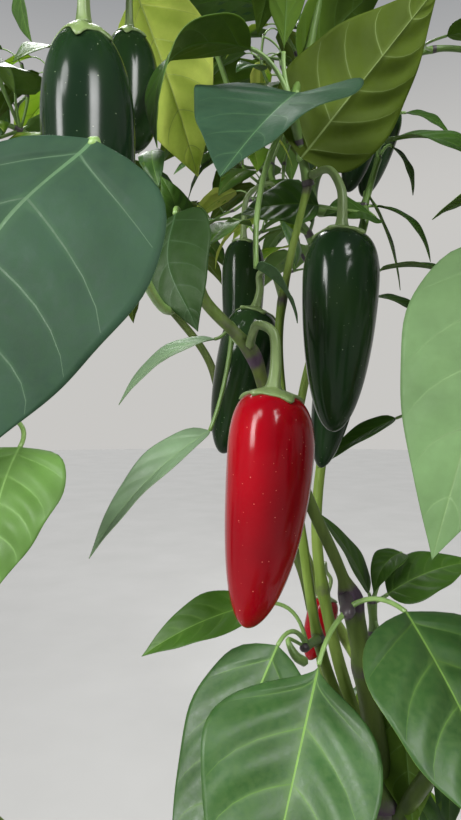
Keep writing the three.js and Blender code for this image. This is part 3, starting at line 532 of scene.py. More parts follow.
MASSES = {
    "leaves_fork_front": mass_of(
        2.9, [[-27.5, -6, 323], [-29, -14, 319]],
        [
            leaf([-29, -13, 319], [-43, -31, 305], [-71, -77, 228], [-0.1, -0.75, 0.6], 57, 0.02, 0.06),
            leaf([-28, -12, 320], [-10, -29, 324], [13, -79, 262], [0.25, -0.7, 0.65], 61, 0.05, 0.06,
                 [-18, -16, 329]),
        ],
    ),
    "leaves_fork_left": mass_of(
        2.2, [[-36, 14, 298], [-44, 3, 298]],
        [
            leaf([-43, 5, 298], [-57, -13, 305], [-97, -42, 222], [-0.3, -0.65, 0.65], 48, 0.02, 0.06,
                 [-50, -6, 314]),
            leaf([-43, 6, 298], [-68, -7, 319], [-111, -19, 303], [0.1, -0.6, 0.8], 20, 0.1, 0.3,
                 [-47, 3, 322]),
        ],
        bud={"path": [[-44, 4, 298], [-52, -4, 304], [-49, -6, 298], [-45, -5, 295]], "radius": 1.4},
    ),
    "leaves_fork_right": mass_of(
        2.1, [[-20, -1, 292], [-13, 10, 300], [-13, 12, 314]],
        [
            leaf([-13, 12, 313], [-14, 14, 318], [-37, 18, 354], [0.75, -0.5, 0.4], 15, 0.06, 0.2),
            leaf([-13, 12, 314], [2, 18, 335], [-13, 9, 319], [-0.5, -0.6, 0.6], 14, 0.25, 0.2,
                 [-6, 16, 334]),
            leaf([-13, 12, 314], [-6, 12, 318], [34, 14, 332], [-0.3, -0.5, 0.8], 26, 0.1, 0.12),
            leaf([-13, 12, 308], [-11, 8, 302], [-14, 2, 268], [0.6, -0.8, 0.1], 20, 0.05, 0.12),
            leaf([-13, 11, 302], [-2, 6, 280], [-3, -15, 232], [0.2, 0.9, 0.2], 34, 0.06, 0.1),
        ],
    ),
    "leaves_middle_left": mass_of(
        2.2, [[-67, -22, 421], [-73, -5, 430], [-76, 8, 437]],
        [
            leaf([-76, 8, 437], [-83, 7, 431], [-123, -3, 402], [-0.3, -0.45, 0.8], 24, 0.12, 0.3),
            leaf([-75, 4, 435], [-85, 7, 391], [-135, -5, 338], [-0.6, -0.6, 0.5], 26, 0.08, 0.45,
                 [-78, 8, 408]),
        ],
    ),
    "leaves_top_left": mass_of(
        2.7,
        [[-88.5, -39, 448], [-92, -41, 459], [-105, -41, 470], [-124, -34, 490], [-136, -22, 522],
         [-131, -27, 566]],
        [
            leaf([-92, -41, 459], [-104, -133, 455], [-129, -137, 388], [-0.1, -0.95, 0.25], 49, 0.06,
                 0.04, [-89, -100, 400]),
            leaf([-91, -40, 457], [-94, -59, 464], [-86, -71, 424], [-0.5, -0.85, 0.1], 27, 0.08, 0.1),
            leaf([-91, -41, 459], [-94, -42, 462], [-100, -50, 480], [0.1, -0.6, 0.6], 15, 0.12, 0.1),
            leaf([-91, -41, 458], [-84, -33, 461], [-67, -13, 474], [-0.3, -0.5, 0.8], 17, 0.14, 0.15),
            leaf([-131, -27, 566], [-117, 7, 582], [-90, 3, 500], [0.3, 0.9, 0.3], 46, 0.05, 0.12),
            leaf([-131, -28, 566], [-147, -52, 548], [-142, -56, 522], [-0.8, -0.5, 0.1], 13, 0.05, 0.2),
        ],
        pods=["pod_green_top", "pod_green_top_behind"],
        seed=80, space=[[-150, -50, 612], [85, 80, 84]],
        heading=[-0.35, -0.25, 1], internode=44, blade=62,
    ),
    "leaves_top_middle": mass_of(
        2.1, [[-42, 7, 498], [-46, 2, 513], [-50, -5, 526], [-42, 10, 556], [-32, 18, 600]],
        [
            leaf([-46, 2, 513], [-46, 0, 507], [5, -23, 565], [0.45, 0.55, 0.7], 56, 0.04, 0.12),
            leaf([-50, -5, 525], [-49, -11, 529], [-79, -85, 466], [-0.05, -0.62, 0.78], 62, 0.02, 0.26),
            leaf([-50, -5, 526], [-68, -11, 547], [-102, -42, 493], [-0.7, -0.35, 0.66], 28, 0.25, 0.2,
                 [-57, -7, 546]),
            leaf([-50, -5, 527], [-54, -7, 548], [-52, -21, 600], [0.1, 0.9, 0.2], 28, 0.04, 0.16),
            leaf([-49, -2, 530], [-44, 14, 552], [1, 31, 607], [-0.1, 0.6, 0.7], 36, 0.06, 0.14),
            leaf([-50, -5, 526], [-66, -23, 455], [-52, -40, 431], [0.85, -0.1, 0.5], 13, 0.1, 0.3,
                 [-68, -14, 494]),
        ],
        seed=148, space=[[-30, 5, 650], [90, 85, 58]], heading=[0.1, 0, 1], internode=42, blade=60,
    ),
    "leaves_right_back": mass_of(
        2.3,
        [[-14, 55, 454], [-11, 57, 480], [-6, 61, 506], [-26, 84, 512], [-22, 112, 545],
         [-4, 118, 580], [12, 112, 602], [46, 108, 618], [84, 104, 612]],
        [
            leaf([4, 70, 536], [6, 63, 542], [50, 32, 512], [0.1, -0.6, 0.8], 32, 0.14, 0.15),
            leaf([5, 71, 538], [11, 68, 542], [21, 64, 514], [0.75, -0.6, 0.3], 14, 0.1, 0.15),
            leaf([4, 70, 536], [22, 80, 566], [44, 72, 549], [0.1, -0.6, 0.75], 16, 0.1, 0.15),
            leaf([-6, 61, 506], [-3, 52, 499], [-31, 36, 494], [-0.1, -0.8, 0.6], 26, 0.1, 0.1),
            leaf([-5, 62, 510], [-3, 66, 516], [12, 56, 462], [0.85, -0.4, 0.2], 12, 0.05, 0.2),
            leaf([-6, 61, 507], [1, 60, 507], [24, 45, 474], [0.4, -0.5, 0.75], 12, 0.15, 0.2),
            leaf([-12, 56, 466], [-1, 45, 470], [38, 25, 456], [0.1, -0.3, 0.95], 16, 0.12, 0.3),
            leaf([-13, 56, 460], [-3, 46, 457], [18, 30, 442], [0.2, -0.5, 0.8], 12, 0.08, 0.25),
            leaf([-6, 61, 504], [-34, 30, 497], [-71, 34, 494], [0.1, -0.75, 0.6], 36, 0.08, 0.1),
            leaf([46, 108, 618], [42, 72, 604], [64, 52, 592], [0.1, 0.4, 0.9], 14, 0.1, 0.3),
        ],
        twigs=[[[-6, 61, 506], [4, 70, 536]]],
        pods=["pod_pair_left", "pod_pair_right", "pod_green_low"],
        seed=110, space=[[106, 100, 596], [88, 84, 92]],
        heading=[0.95, 0, 0.1], internode=42, blade=66,
    ),
    "leaves_right": mass_of(
        2.5, [[117.6, -10, 410], [124, -12, 434], [132, -8, 462]],
        [
            leaf([56, 14, 408], [4, 35, 396], [-33, 42, 371], [0.1, -0.5, 0.85], 12, 0.06, 0.35),
            leaf([72, 6, 470], [41, 5, 493], [13, 10, 484], [0, 0.1, 1], 16, 0.1, 0.2),
        ],
        twigs=[[[120, -11, 418], [84, 4, 420], [56, 14, 408]], [[84, 4, 420], [72, 6, 470]]],
        pods=["pod_right_outer", "pod_right_inner"],
        seed=18, space=[[138, -12, 480], [92, 74, 108]],
        heading=[0.3, 0, 1], internode=46, blade=72,
    ),
    "leaves_right_front": mass_of(
        2.4, [[41.8, -97.6, 418], [46, -104, 440], [52, -112, 462]],
        [leaf([45, -103, 436], [-3, -104, 443], [-29, -115, 365], [-0.3, -0.9, 0.2], 42, 0.06, 0.08)],
        pods=["pod_right_front"],
        seed=153, space=[[92, -118, 462], [84, 62, 100]],
        heading=[0.3, -0.2, 1], internode=44, blade=70,
    ),
    "leaves_back": mass_of(
        2.4, [[-15, 130, 470], [-14, 131, 486], [-26, 128, 512], [-44, 112, 528], [-50, 130, 556]],
        pods=["pod_green_behind", "pod_back"],
        seed=153, space=[[-50, 150, 560], [96, 74, 110]],
        heading=[-0.05, 0.3, 1], internode=46, blade=70,
    ),
    "leaves_back_left": mass_of(
        2.4, [[-117.5, 140, 468], [-124, 141, 482], [-138, 138, 504], [-147, 138, 530]],
        pods=["pod_back_left"],
        seed=22, space=[[-172, 130, 530], [80, 84, 104]],
        heading=[-0.6, 0.1, 0.8], internode=46, blade=70,
    ),
    "leaves_left": mass_of(
        2.4, [[-205, -9.6, 344], [-204, -10, 366], [-200, -14, 400], [-200, -18, 440]],
        [leaf([-200, -14, 402], [-155, -30, 386], [-158, -50, 336], [-0.1, -0.8, 0.5], 34, 0.14, 0.12)],
        pods=["pod_left"],
        seed=54, space=[[-226, -10, 430], [52, 96, 130]],
        heading=[-0.2, 0, 1], internode=46, blade=70,
    ),
    "leaves_low_right": mass_of(
        2.3, [[85.6, -49.6, 245], [92, -54, 260], [104, -58, 280]],
        pods=["pod_low_right"],
        seed=23, space=[[112, -66, 285], [84, 76, 84]],
        heading=[0.5, -0.1, 0.9], internode=42, blade=66, levels=2,
    ),
    "leaves_low_back": mass_of(
        2.4, [[-6, 4, 176], [14, 40, 196], [28, 72, 206]],
        seed=43, space=[[40, 110, 250], [96, 78, 96]],
        heading=[0.35, 0.7, 0.5], internode=44, blade=66,
    ),
    "leaves_low_front": mass_of(
        2.3, [[-4, 1, 126], [-20, -36, 150], [-38, -66, 164]],
        seed=120, space=[[-62, -96, 190], [96, 82, 76]],
        heading=[-0.45, -0.6, 0.45], internode=42, blade=66,
    ),
}


class Room:
    """Everything that stands so far, as places with the room that each one needs round it."""

    MOST = 40000

    def __init__(self):
        self.places = np.zeros((self.MOST, 3))
        self.rooms = np.zeros(self.MOST)
        self.count = 0

    def take(self, places, room):
        places = np.asarray(places, float).reshape(-1, 3)
        end = self.count + len(places)
        self.places[self.count : end] = places
        self.rooms[self.count : end] = room
        self.count = end

    def is_free(self, places, room, space, stretch, reach=None):
        """Whether places are above the ground, in their space, out of the open and clear of the
        rest, and no further out than the reach, where one is given."""
        places = np.asarray(places, float).reshape(-1, 3)
        middle, half = vec(space[0]), vec(space[1])
        if (places[:, 2] <= LOWEST).any() or is_open(places).any():
            return False
        if ((((places - middle) / half) ** 2).sum(axis=1) >= stretch**2).any():
            return False
        low, high = places.min(axis=0), places.max(axis=0)
        if reach is not None and ((low < reach[0]).any() or (high > reach[1]).any()):
            return False
        others = self.places[: self.count]
        rooms = self.rooms[: self.count] + room
        gaps = np.maximum(np.maximum(low - others, others - high), 0)
        near = (gaps**2).sum(axis=1) <= rooms**2
        if not near.any():
            return True
        apart = np.linalg.norm(others[near][None] - places[:, None], axis=2)
        return bool((apart > rooms[near][None]).all())


def is_open(places):
    """Whether each place is in the part of the crown that stays open towards the front."""
    depth = places[:, 1] - LOOKOUT[1]
    across = (places[:, 0] - LOOKOUT[0]) / depth
    up = (places[:, 2] - LOOKOUT[2]) / depth
    hidden = np.zeros(len(places), bool)
    for screen in SCREENS:
        beside = (across > screen["left"]) & (across < screen["right"])
        level = (up > screen["low"]) & (up < screen["high"])
        hidden |= (depth > screen["beyond"]) & beside & level
    return (abs(across) <= OPEN_ACROSS) & (abs(up) <= OPEN_UP) & ~hidden


def grown_leaf(node, bearing, droop, length, tilt):
    """A leaf grown at a node: its stalk rises outwards, and its blade droops with the face up."""
    outward = vec([math.cos(bearing), math.sin(bearing), 0])
    reach = 0.36 * length
    base = node + outward * 0.85 * reach + vec([0, 0, 0.5 * reach])
    tip = base + outward * math.cos(droop) * length - vec([0, 0, math.sin(droop) * length])
    face = vec([tilt * outward[1], -tilt * outward[0], 1])
    places = {"root": node, "base": base, "tip": tip, "face": face, "knee": None}
    return {**places, "width": 0.5 * length, "arch": 0.12, "fold": 0.14}


def leaf_at_node(room, mass, node, bearing, random):
    """Sets one leaf at a node, at the first of a few bearings where it has room."""
    length = mass["blade"] * (0.78 + 0.4 * random())
    droop = mass.get("droop", 0.15) + 0.7 * random()
    tilt = 0.8 * (random() - 0.5)
    for turn in (0, 0.7, -0.7, 1.4, -1.4):
        candidate = grown_leaf(node, bearing + turn, droop, length, tilt)
        places = blade_places(candidate)
        if room.is_free(places, mass["spacing"], mass["space"], FRINGE, mass.get("reach")):
            room.take(places, mass["spacing"])
            return [candidate]
    return []


def grow_twigs(room, mass, grown, twig, heading, spread, level, random):
    """Twigs fork in two from a node, each pair turned a quarter from the last and shorter than it.
    The first of a pair carries on the twig that it grows from."""
    node = twig["places"][-1]
    onward = twig
    if level >= mass["levels"]:
        return
    for sign in (-1, 1):
        angle = FORK_ANGLE * (0.75 + 0.5 * random())
        length = mass["internode"] * SHRINK**level * (0.85 + 0.3 * random())
        direction = heading * math.cos(angle) + spread * sign * math.sin(angle)
        direction[2] += UPTURN
        direction = unit(direction)
        end = node + direction * length
        places = [node + (end - node) * share for share in (0.5, 0.75, 1)]
        bearing = math.atan2(direction[1], direction[0])
        turn = 1.2 * (random() - 0.5)
        if not room.is_free(places, mass["twig_spacing"], mass["space"], 1, mass.get("reach")):
            continue
        room.take(places, mass["twig_spacing"] - 2)
        radius = mass["twig_radius"] * THINNING**level
        if onward is None:
            onward = {"places": [node], "radii": [0.6 * radius]}
            grown["twigs"].append(onward)
        onward["places"].append(end)
        onward["radii"].append(0.88 * radius)
        for side in (0, 2.1, -2.1):
            grown["leaves"] += leaf_at_node(room, mass, end, bearing + turn + side, random)
        following = unit(np.cross(direction, spread))
        grow_twigs(room, mass, grown, onward, direction, following, level + 1, random)
        onward = None


def twig_of(places, first, last):
    count = len(places) - 1
    radii = [first + (last - first) * i / count for i in range(count + 1)]
    return {"places": [vec(place) for place in places], "radii": radii}


def take_fixed_room(room, limb_lines):
    """Marks the room that limbs, pods and the listed leaves take up, before anything is grown."""
    along_limb, along_pod = 40, 7
    for name, line in limb_lines.items():
        room.take(line.spaced(along_limb), LIMBS[name]["radii"][0] + 1)
    for pod in PODS.values():
        top, tip = vec(pod["top"]), vec(pod["tip"])
        places = [top + (tip - top) * i / along_pod for i in range(along_pod + 1)]
        room.take(places, pod["radius"])
    for mass in MASSES.values():
        for one in mass["leaves"]:
            room.take(blade_places(one), BLADE_SPACING)
        for one in mass["leaves"]:
            room.take(petiole_line(one, [0.25, 0.5, 0.75, 1]), STEM_ROOM)
        stem = [vec(place) for place in mass["stem"]]
        for before, after in zip(stem[:-1], stem[1:]):
            room.take([(before + after) / 2], STEM_ROOM)


def grow_masses(room):
    """Grows each mass by the same seeds as the solids: its twigs and leaves, with places for
    its finer shoots and their small leaves."""
    grown = {}
    rule = {"spacing": BLADE_SPACING, "twig_spacing": TWIG_SPACING, "twig_radius": TWIG_RADIUS}
    for name, mass in MASSES.items():
        stem = twig_of(mass["stem"], mass["radius"], 0.8 * mass["radius"])
        side = [twig_of(places, 1.9, 1.5) for places in mass.get("twigs", [])]
        plant = {"twigs": [stem, *side], "leaves": list(mass["leaves"]), "shoots": [], "small": []}
        if "space" in mass:
            heading = unit(vec(mass["heading"]))
            spread = unit(np.cross(heading, vec([0, 1, 0.2])))
            random = seeded(mass["seed"])
            grow_twigs(room, {**mass, **rule}, plant, stem, heading, spread, 0, random)
        grown[name] = plant
    return grown


# Leaves. A blade is a thin closed shell whose rows follow its side veins from the midrib to the
# margin, so that veins, the quilted surface between them and the margin are all real shape.
# Each grade says how many side veins it has, how many rows stand between two of them, where the
# columns stand between the midrib and the margin, where the rows stand before the first vein and
# after the last, and the sides, steps and radius of the stalk.
GRADES = {
    "near": {
        "veins": 5,
        "between": 7,
        "columns": [0, 0.12, 0.27, 0.44, 0.62, 0.8, 0.94, 1],
        "first_rows": [0.0003, 0.001, 0.0025, 0.005, 0.01, 0.017, 0.024, 0.032, 0.041, 0.05],
        "last_rows": [0.9, 0.94, 0.97, 0.99],
        "stalk": (10, 18, 1.05),
    },
    "plain": {
        "veins": 5,
        "between": 4,
        "columns": [0, 0.2, 0.45, 0.72, 0.93, 1],
        "first_rows": [0.0004, 0.0015, 0.004, 0.01, 0.02, 0.032, 0.045],
        "last_rows": [0.92, 0.97],
        "stalk": (8, 12, 0.9),
    },
    "far": {
        "veins": 4,
        "between": 1,
        "columns": [0, 0.35, 0.75, 1],
        "first_rows": [0.0006, 0.003, 0.012],
        "last_rows": [0.94],
        "stalk": (6, 8, 0.85),
    },
    "fine": {
        "veins": 3,
        "between": 1,
        "columns": [0, 0.5, 1],
        "first_rows": [0.001, 0.008],
        "last_rows": [0.94],
        "stalk": (5, 4, 0.5),
    },
}
# The first and last side vein, at shares of the midrib, and how far the veins sweep towards the
# tip. The halves of veins and midrib and the thickness are millimetres, on a blade of full width.
FIRST_VEIN = 0.06
LAST_VEIN = 0.82
SWEEP = 0.36
FULL_WIDTH = 40
VEIN_HALF = 0.26
MIDRIB_HALF = 0.46
LAMINA = 0.36
TIP_LAMINA = 0.24
RIDGE = 0.4

# The order of a tint's materials: both faces of the blade, the side veins on both, the midrib.
FACE_UPPER, FACE_LOWER, FACE_VEIN_UPPER, FACE_VEIN_LOWER, FACE_MIDRIB = range(5)
FACES = 5
# The kinds of strips on a blade, and what each has above and below.
SKIN, VEIN, MIDRIB = range(3)
UPPER_OF = np.array([FACE_UPPER, FACE_VEIN_UPPER, FACE_MIDRIB])
LOWER_OF = np.array([FACE_LOWER, FACE_VEIN_LOWER, FACE_MIDRIB])


def blade_rows(grade, half):
    """For each row: its share of the midrib, which side of a vein it is on, how far it is on to
    the next vein, and whether the strip after it is a vein. The half is that of a vein."""
    rows = [(share, 0, 0.5, False) for share in grade["first_rows"]]
    count, between = grade["veins"], grade["between"]
    veins = [FIRST_VEIN + (LAST_VEIN - FIRST_VEIN) * (k / (count - 1)) ** 1.06 for k in range(count)]
    for k, share in enumerate(veins):
        rows += [(share, -half, 0, True), (share, half, 0, False)]
        onward = veins[k + 1] if k + 1 < count else grade["last_rows"][0]
        for i in range(1, between + 1):
            part = (i / (between + 1)) ** (1.35 if k == 0 else 1)
            rows.append((share + (onward - share) * part, 0, part, False))
    rows += [(share, 0, 0.5, False) for share in grade["last_rows"]]
    return [np.array(values) for values in zip(*rows)]


def blade_outline(one, s, hand):
    """How far the margin is from the middle of the blade, first plain and then with the departures
    of either side, and how far aside the midrib is."""
    wide = half_width(one, s) * np.sqrt(1 - np.exp(-s / 0.03))
    if "wedge" in one:
        wide = wide * (1 - np.exp(-((s / one["wedge"]) ** 1.5)))
    wide = wide * (1 + 0.012 * np.sin(TURN * 3.3 * s + hand))
    aside = one.get("skew", 0) * np.sin(math.pi * s) * wide
    reach = (wide - hand * aside) * np.where(hand < 0, *one.get("sides", (1, 1)))
    pinch = np.where(hand < 0, *one.get("pinch", (0, 0)))
    return wide, reach * (1 - pinch * smooth_step(s, 0.15, 0.7)), aside


def blade_lift(one, s, c, hand, phase, offset, wide):
    """How far the blade is lifted by its fold, its quilted surface, waves at the margin, a curl
    and a twist."""
    width = one["width"]
    rounded = 0.06 * width
    bent = one["fold"] * (np.sqrt(offset**2 + rounded**2) - rounded)
    fade = np.clip(wide / (0.4 * width), 0, 1)
    quilt = one.get("quilt", 0.02) * width * np.sin(math.pi * phase) ** 2
    quilt = quilt * np.sin(math.pi * c**0.8) * fade
    waves = np.where(hand < 0, *one.get("phases", (0, 1.9)))
    wave = one.get("wave", 0.02) * width * c**2 * np.sin(TURN * 2.4 * s + waves) * fade
    curl = one.get("curl", 0) * width * c**3 * np.sin(math.pi * s)
    twist = one.get("twist", 0) * s * offset
    return bent + quilt + wave + curl + twist


def blade_shell(one, grade):
    """The upper and lower sheet of a blade as grids of places, the kind of each strip, and how
    near each place is to a vein."""
    _, side, _, length = blade_axes(one)
    thin = min(1, one["width"] / FULL_WIDTH)
    share, past, phase, is_vein = blade_rows(grade, VEIN_HALF * thin / length)
    half_columns = np.array(grade["columns"])
    column = np.concatenate([-half_columns[::-1], [0], half_columns])
    hand = np.sign(np.arange(len(column)) - len(half_columns))[None]
    c = abs(column)[None]
    share, past, phase = share[:, None], past[:, None], phase[:, None]
    sweep = SWEEP * (1 - share) ** 0.8 * (1 - np.exp(-share / 0.07))
    lean = 1 + 0.12 * (hand < 0)
    s = share + past * (1 - 0.8 * c)
    s = s + sweep * lean * (0.6 * c + 0.4 * c**2.2)
    s = np.clip(s, 0.0002, 0.998)
    wide, reach, aside = blade_outline(one, s, hand)
    midrib = np.minimum(MIDRIB_HALF * thin * (1 - 0.75 * s), 0.3 * wide)
    offset = aside + hand * (midrib + (reach - midrib) * c) * (hand != 0)
    place, _, up = blade_line(one, s)
    lift = blade_lift(one, s, c, hand, phase, offset, wide)
    sway = one.get("sway", 0) * length * np.sin(math.pi * s) ** 2
    middle = place + side * (offset + sway)[..., None] + up * lift[..., None]
    near_vein = (phase == 0) * (1 - c**3)
    half_thick = 0.5 * LAMINA * np.where(c >= 1, 0.6, 1)
    sunk = 0.3 * RIDGE * (near_vein * (c > 0) * 0.6 + (hand == 0))
    ridge = RIDGE * (0.7 * near_vein * (c > 0) + (1.9 * (1 - s) + 0.2) * (hand == 0))
    upper = middle + up * (half_thick - sunk * thin)[..., None]
    lower = middle - up * (half_thick + ridge * thin)[..., None]
    kinds = np.full((len(share) - 1, len(column) - 1), SKIN)
    kinds[is_vein[:-1]] = VEIN
    if grade["between"] > 1:
        kinds[:, [0, -1]] = SKIN
    inner = len(half_columns) - 1
    kinds[:, inner : inner + 2] = MIDRIB
    return upper, lower, kinds, np.maximum(near_vein, hump(offset - aside, 1.3))


def add_blade(parts, one, grade, first_number):
    """A blade with its two sheets, its rim, and a fan at either end."""
    upper, lower, kinds, pale = blade_shell(one, grade)
    rows, columns = upper.shape[:2]
    tip, _, tip_up = blade_line(one, 0.9995)
    tips = [tip + 0.5 * TIP_LAMINA * tip_up, tip - 0.5 * TIP_LAMINA * tip_up]
    places = np.concatenate([upper.reshape(-1, 3), lower.reshape(-1, 3), [one["base"], *tips]])
    shade = np.concatenate([pale.ravel(), pale.ravel(), [1, 0.5, 0.5]])
    below = rows * columns
    foot, head, under = 2 * below, 2 * below + 1, 2 * below + 2
    grid = grid_faces(rows, columns)
    top, bottom = first_number + FACE_UPPER, first_number + FACE_LOWER
    parts.add(places, grid, first_number + UPPER_OF[kinds.ravel()], shade)
    parts.extend(grid[:, ::-1] + below, first_number + LOWER_OF[kinds.ravel()])
    column = np.arange(columns - 1)
    last = (rows - 1) * columns + column
    parts.extend(faces_of(foot, column + 1, column), top)
    parts.extend(faces_of(head, last, last + 1), top)
    parts.extend(faces_of(foot, column + below, column + 1 + below), bottom)
    parts.extend(faces_of(under, last + 1 + below, last + below), bottom)
    left = np.arange(rows) * columns
    right = left + columns - 1
    rim = first_number + FACE_VEIN_LOWER
    parts.extend(faces_of(left[:-1], left[1:], left[1:] + below, left[:-1] + below), rim, True)
    parts.extend(faces_of(right[:-1], right[:-1] + below, right[1:] + below, right[1:]), rim, True)
    parts.extend([[foot, left[0], left[0] + below], [foot, right[0] + below, right[0]]], rim, True)
    ends = [[head, under, left[-1] + below, left[-1]], [head, right[-1], right[-1] + below, under]]
    parts.extend(ends, rim, True)


def add_petiole(parts, one, grade, number):
    """The stalk of a leaf, channelled along its upper side, a little thicker at its foot."""
    sides, steps, radius = grade["stalk"]
    shares = np.linspace(0, 1, steps + 1)
    line = petiole_line(one, shares)
    size = radius * one.get("stalk_size", 1)
    radii = size * (1 + 0.5 * np.exp(-shares / 0.08) - 0.12 * shares)
    angles = ring_angles(sides)
    channel = 1 - 0.22 * hump(np.minimum(angles, TURN - angles), 0.5)
    add_tube(parts, line, radii, sides, number, relief=channel[None], start_side=one["face"])


# Limbs and twigs. The front bough has a scarred, purple knot, from which a mass of broad leaves
# springs whose stem is purple too.
KNOT_LIMB = "bough_front"
KNOT_MASS = "leaves_fork_front"
KNOT_HEIGHT = 321
KNOT_HALF = 6

# How slender the skin of a limb is, against the solid, at shares of its length.
LIMB_SLIM = {
    "main_stem": [[0, 1], [1, 1]],
    "bough_front": [[0, 0.95], [0.36, 0.9], [0.41, 0.55], [0.8, 0.64], [1, 0.62]],
    "bough_middle": [[0, 0.85], [0.2, 0.75], [0.75, 0.7], [1, 0.6]],
    "bough_right_back": [[0, 0.8], [1, 0.7]],
}
PLAIN_SLIM = [[0, 0.9], [1, 0.85]]
# How near to a limb's line the root of another has to be for a node to swell there.
NODE_REACH = 12


def limb_nodes(name, path):
    """The shares of a limb's length at which other limbs, stems or fruit stalks spring from it."""
    roots = [limb["path"][0] for other, limb in LIMBS.items() if other != name]
    roots += [mass["stem"][0] for mass in MASSES.values()]
    roots += [places[0] for mass in MASSES.values() for places in mass.get("twigs", [])]
    roots += [pod["stalk"][0] for pod in PODS.values()]
    shares = [path.share_near(root) for root in roots]
    near = [float(np.linalg.norm(path.at(share) - vec(root))) for share, root in zip(shares, roots)]
    return [share for share, distance in zip(shares, near) if distance < NODE_REACH]


def bark_relief(shares, length, sides, nodes, woody, random):
    """What the radius is multiplied by: slow ridges, swollen nodes, and fissures in old bark."""
    along = (shares * length)[:, None]
    angle = ring_angles(sides)[None]
    turn = [TURN * random() for _ in range(5)]
    relief = 1 + 0.035 * np.cos(5 * angle + 0.012 * along + turn[0])
    relief = relief + 0.02 * np.sin(3 * angle - 0.03 * along + turn[1])
    relief = relief + 0.012 * np.sin(2 * angle + 0.11 * along + turn[2])
    for node in nodes:
        distance = along - node * length
        relief = relief + 0.2 * hump(distance, 5.5)
        relief = relief - 0.05 * hump(distance - 9, 4)
    winding = 0.9 * np.sin(0.05 * along + turn[3]) + 0.5 * np.sin(0.13 * along + turn[4])
    fissure = abs(np.sin(3.5 * angle + winding)) ** 7 + 0.7 * abs(np.sin(5.5 * angle - winding)) ** 9
    return relief - 0.075 * woody[:, None] * fissure


def limb_pieces(name, limb, path, material, random):
    """The mesh of a limb, or its two where it is made in two at a bend. The root flare ends at
    the ground, and the purple is deepest at the nodes."""
    length = path.length
    flared = "flare" in limb
    start = float(np.interp(0, path.line[:, 2], path.lengths)) / length if flared else 0
    shares = np.linspace(start, 1, int(length / 1.6) + 1)
    line = path.along(shares)
    height = line[:, 2]
    radii = limb["radii"][0] + (limb["radii"][1] - limb["radii"][0]) * shares
    radii = radii + limb.get("flare", 0) * np.exp(-np.maximum(height, 0) / (FLARE_HEIGHT / 2))
    radii = radii * np.interp(shares, *np.transpose(LIMB_SLIM.get(name, PLAIN_SLIM)))
    nodes = limb_nodes(name, path)
    woody = 1 - smooth_step(height, 90, 230) if flared else np.zeros(len(line))
    sides = 32 if flared else 24
    relief = bark_relief(shares, length, sides, nodes, woody, random)
    left = (1 - shares) * length
    radii = radii * np.where(left < 4, 0.75 + 0.25 * np.sqrt(np.clip(left / 4, 0, 1)), 1)
    angle = ring_angles(sides)[None]
    if flared:
        spread = np.exp(-height / 9)[:, None]
        relief = relief * (1 + 0.1 * spread * np.cos(4 * angle + 0.7) - 0.06 * spread)
    purple = np.zeros(len(line))
    for node in nodes:
        depth = 0.45 + 0.45 * random()
        purple = np.maximum(purple, depth * hump((shares - node) * length, 4.2))
    if name == KNOT_LIMB:
        purple = np.maximum(purple, 0.35 * smooth_step(height, 375, 410))
        knot = hump(height - KNOT_HEIGHT, KNOT_HALF)
        purple = np.maximum(purple, 1.2 * knot)
        relief = relief + knot[:, None] * (0.2 + 0.12 * np.cos(5 * angle + 0.6))
    end = len(shares) - 1
    cuts = [("", 0, end)]
    if "bend" in limb:
        bend = int(np.argmin(abs(shares - limb["bend"])))
        cuts = [("_lower", 0, bend), ("_upper", bend, end)]
    side = frames_along(line)[1]
    for suffix, first, last in cuts:
        part = slice(first, last + 1)
        parts = MeshParts()
        caps = (0 if first or flared else 0.3, 0 if last < end else 0.3)
        add_tube(
            parts, line[part], radii[part], sides, 0, relief[part], side[first], purple[part], caps
        )
        if flared:
            foot, foot_middle = parts.places[0][:sides], parts.places[0][-2]
            foot[:, 2] = foot_middle[2] = 0
        declare(parts.build(f"bark_{name}{suffix}", [material]), "stem", f"{name}{suffix}")


def smoothed_strand(twig):
    """A twig as a smooth line through its nodes, with its radius and the distance to a node."""
    places = twig["places"]
    last = places[-1] + unit(places[-1] - places[-2]) * 1.2 * twig["radii"][-1]
    path = SmoothPath(places)
    shares = np.linspace(0, 1, max(int(path.length / 2.4), 3) + 1)
    at_nodes = np.array([path.share_near(place) for place in places])
    radii = np.interp(shares, at_nodes, twig["radii"])
    distance = abs(shares[:, None] - at_nodes[None]).min(axis=1) * path.length
    swollen = np.append(radii * (1 + 0.28 * hump(distance, 3.2)), 0.8 * radii[-1])
    return np.concatenate([path.along(shares), [last]]), swollen, np.append(distance, 0)


def add_twig(parts, twig, sides, numbers):
    """A twig, ridged, with purple nodes: numbers are those of its bark and of its nodes."""
    line, radii, distance = smoothed_strand(twig)
    relief = 1 + 0.06 * np.cos(4 * ring_angles(sides))[None] + np.zeros((len(line), 1))
    number = np.where(distance < 1.7, numbers[1], numbers[0])
    add_tube(parts, line, radii, sides, number, relief, pale=hump(distance, 4))


# Fruit. The shape of a pod's skin: how far down the shoulder is, how square it is, how full the
# pod is towards the tip and how blunt the tip is.
POD_SHAPE = {"shoulder": 0.24, "square": 0.25, "fullness": 2.0, "blunt": 0.52}
POD_LOOKS = {
    "pod_green_top": {
        "top": [-125, -54, 527], "shoulder": 0.5, "square": 0.38, "fullness": 4.0, "blunt": 0.6
    },
    "pod_green_top_behind": {"shoulder": 0.42, "square": 0.4, "fullness": 4.0, "blunt": 0.6},
}
# The radius of a full-grown pod. Caps and stalks of smaller ones are smaller.
FULL_POD = 15.8


def skin_of(name):
    """A pod with the shape of its skin."""
    return {**PODS[name], **POD_SHAPE, **POD_LOOKS.get(name, {})}


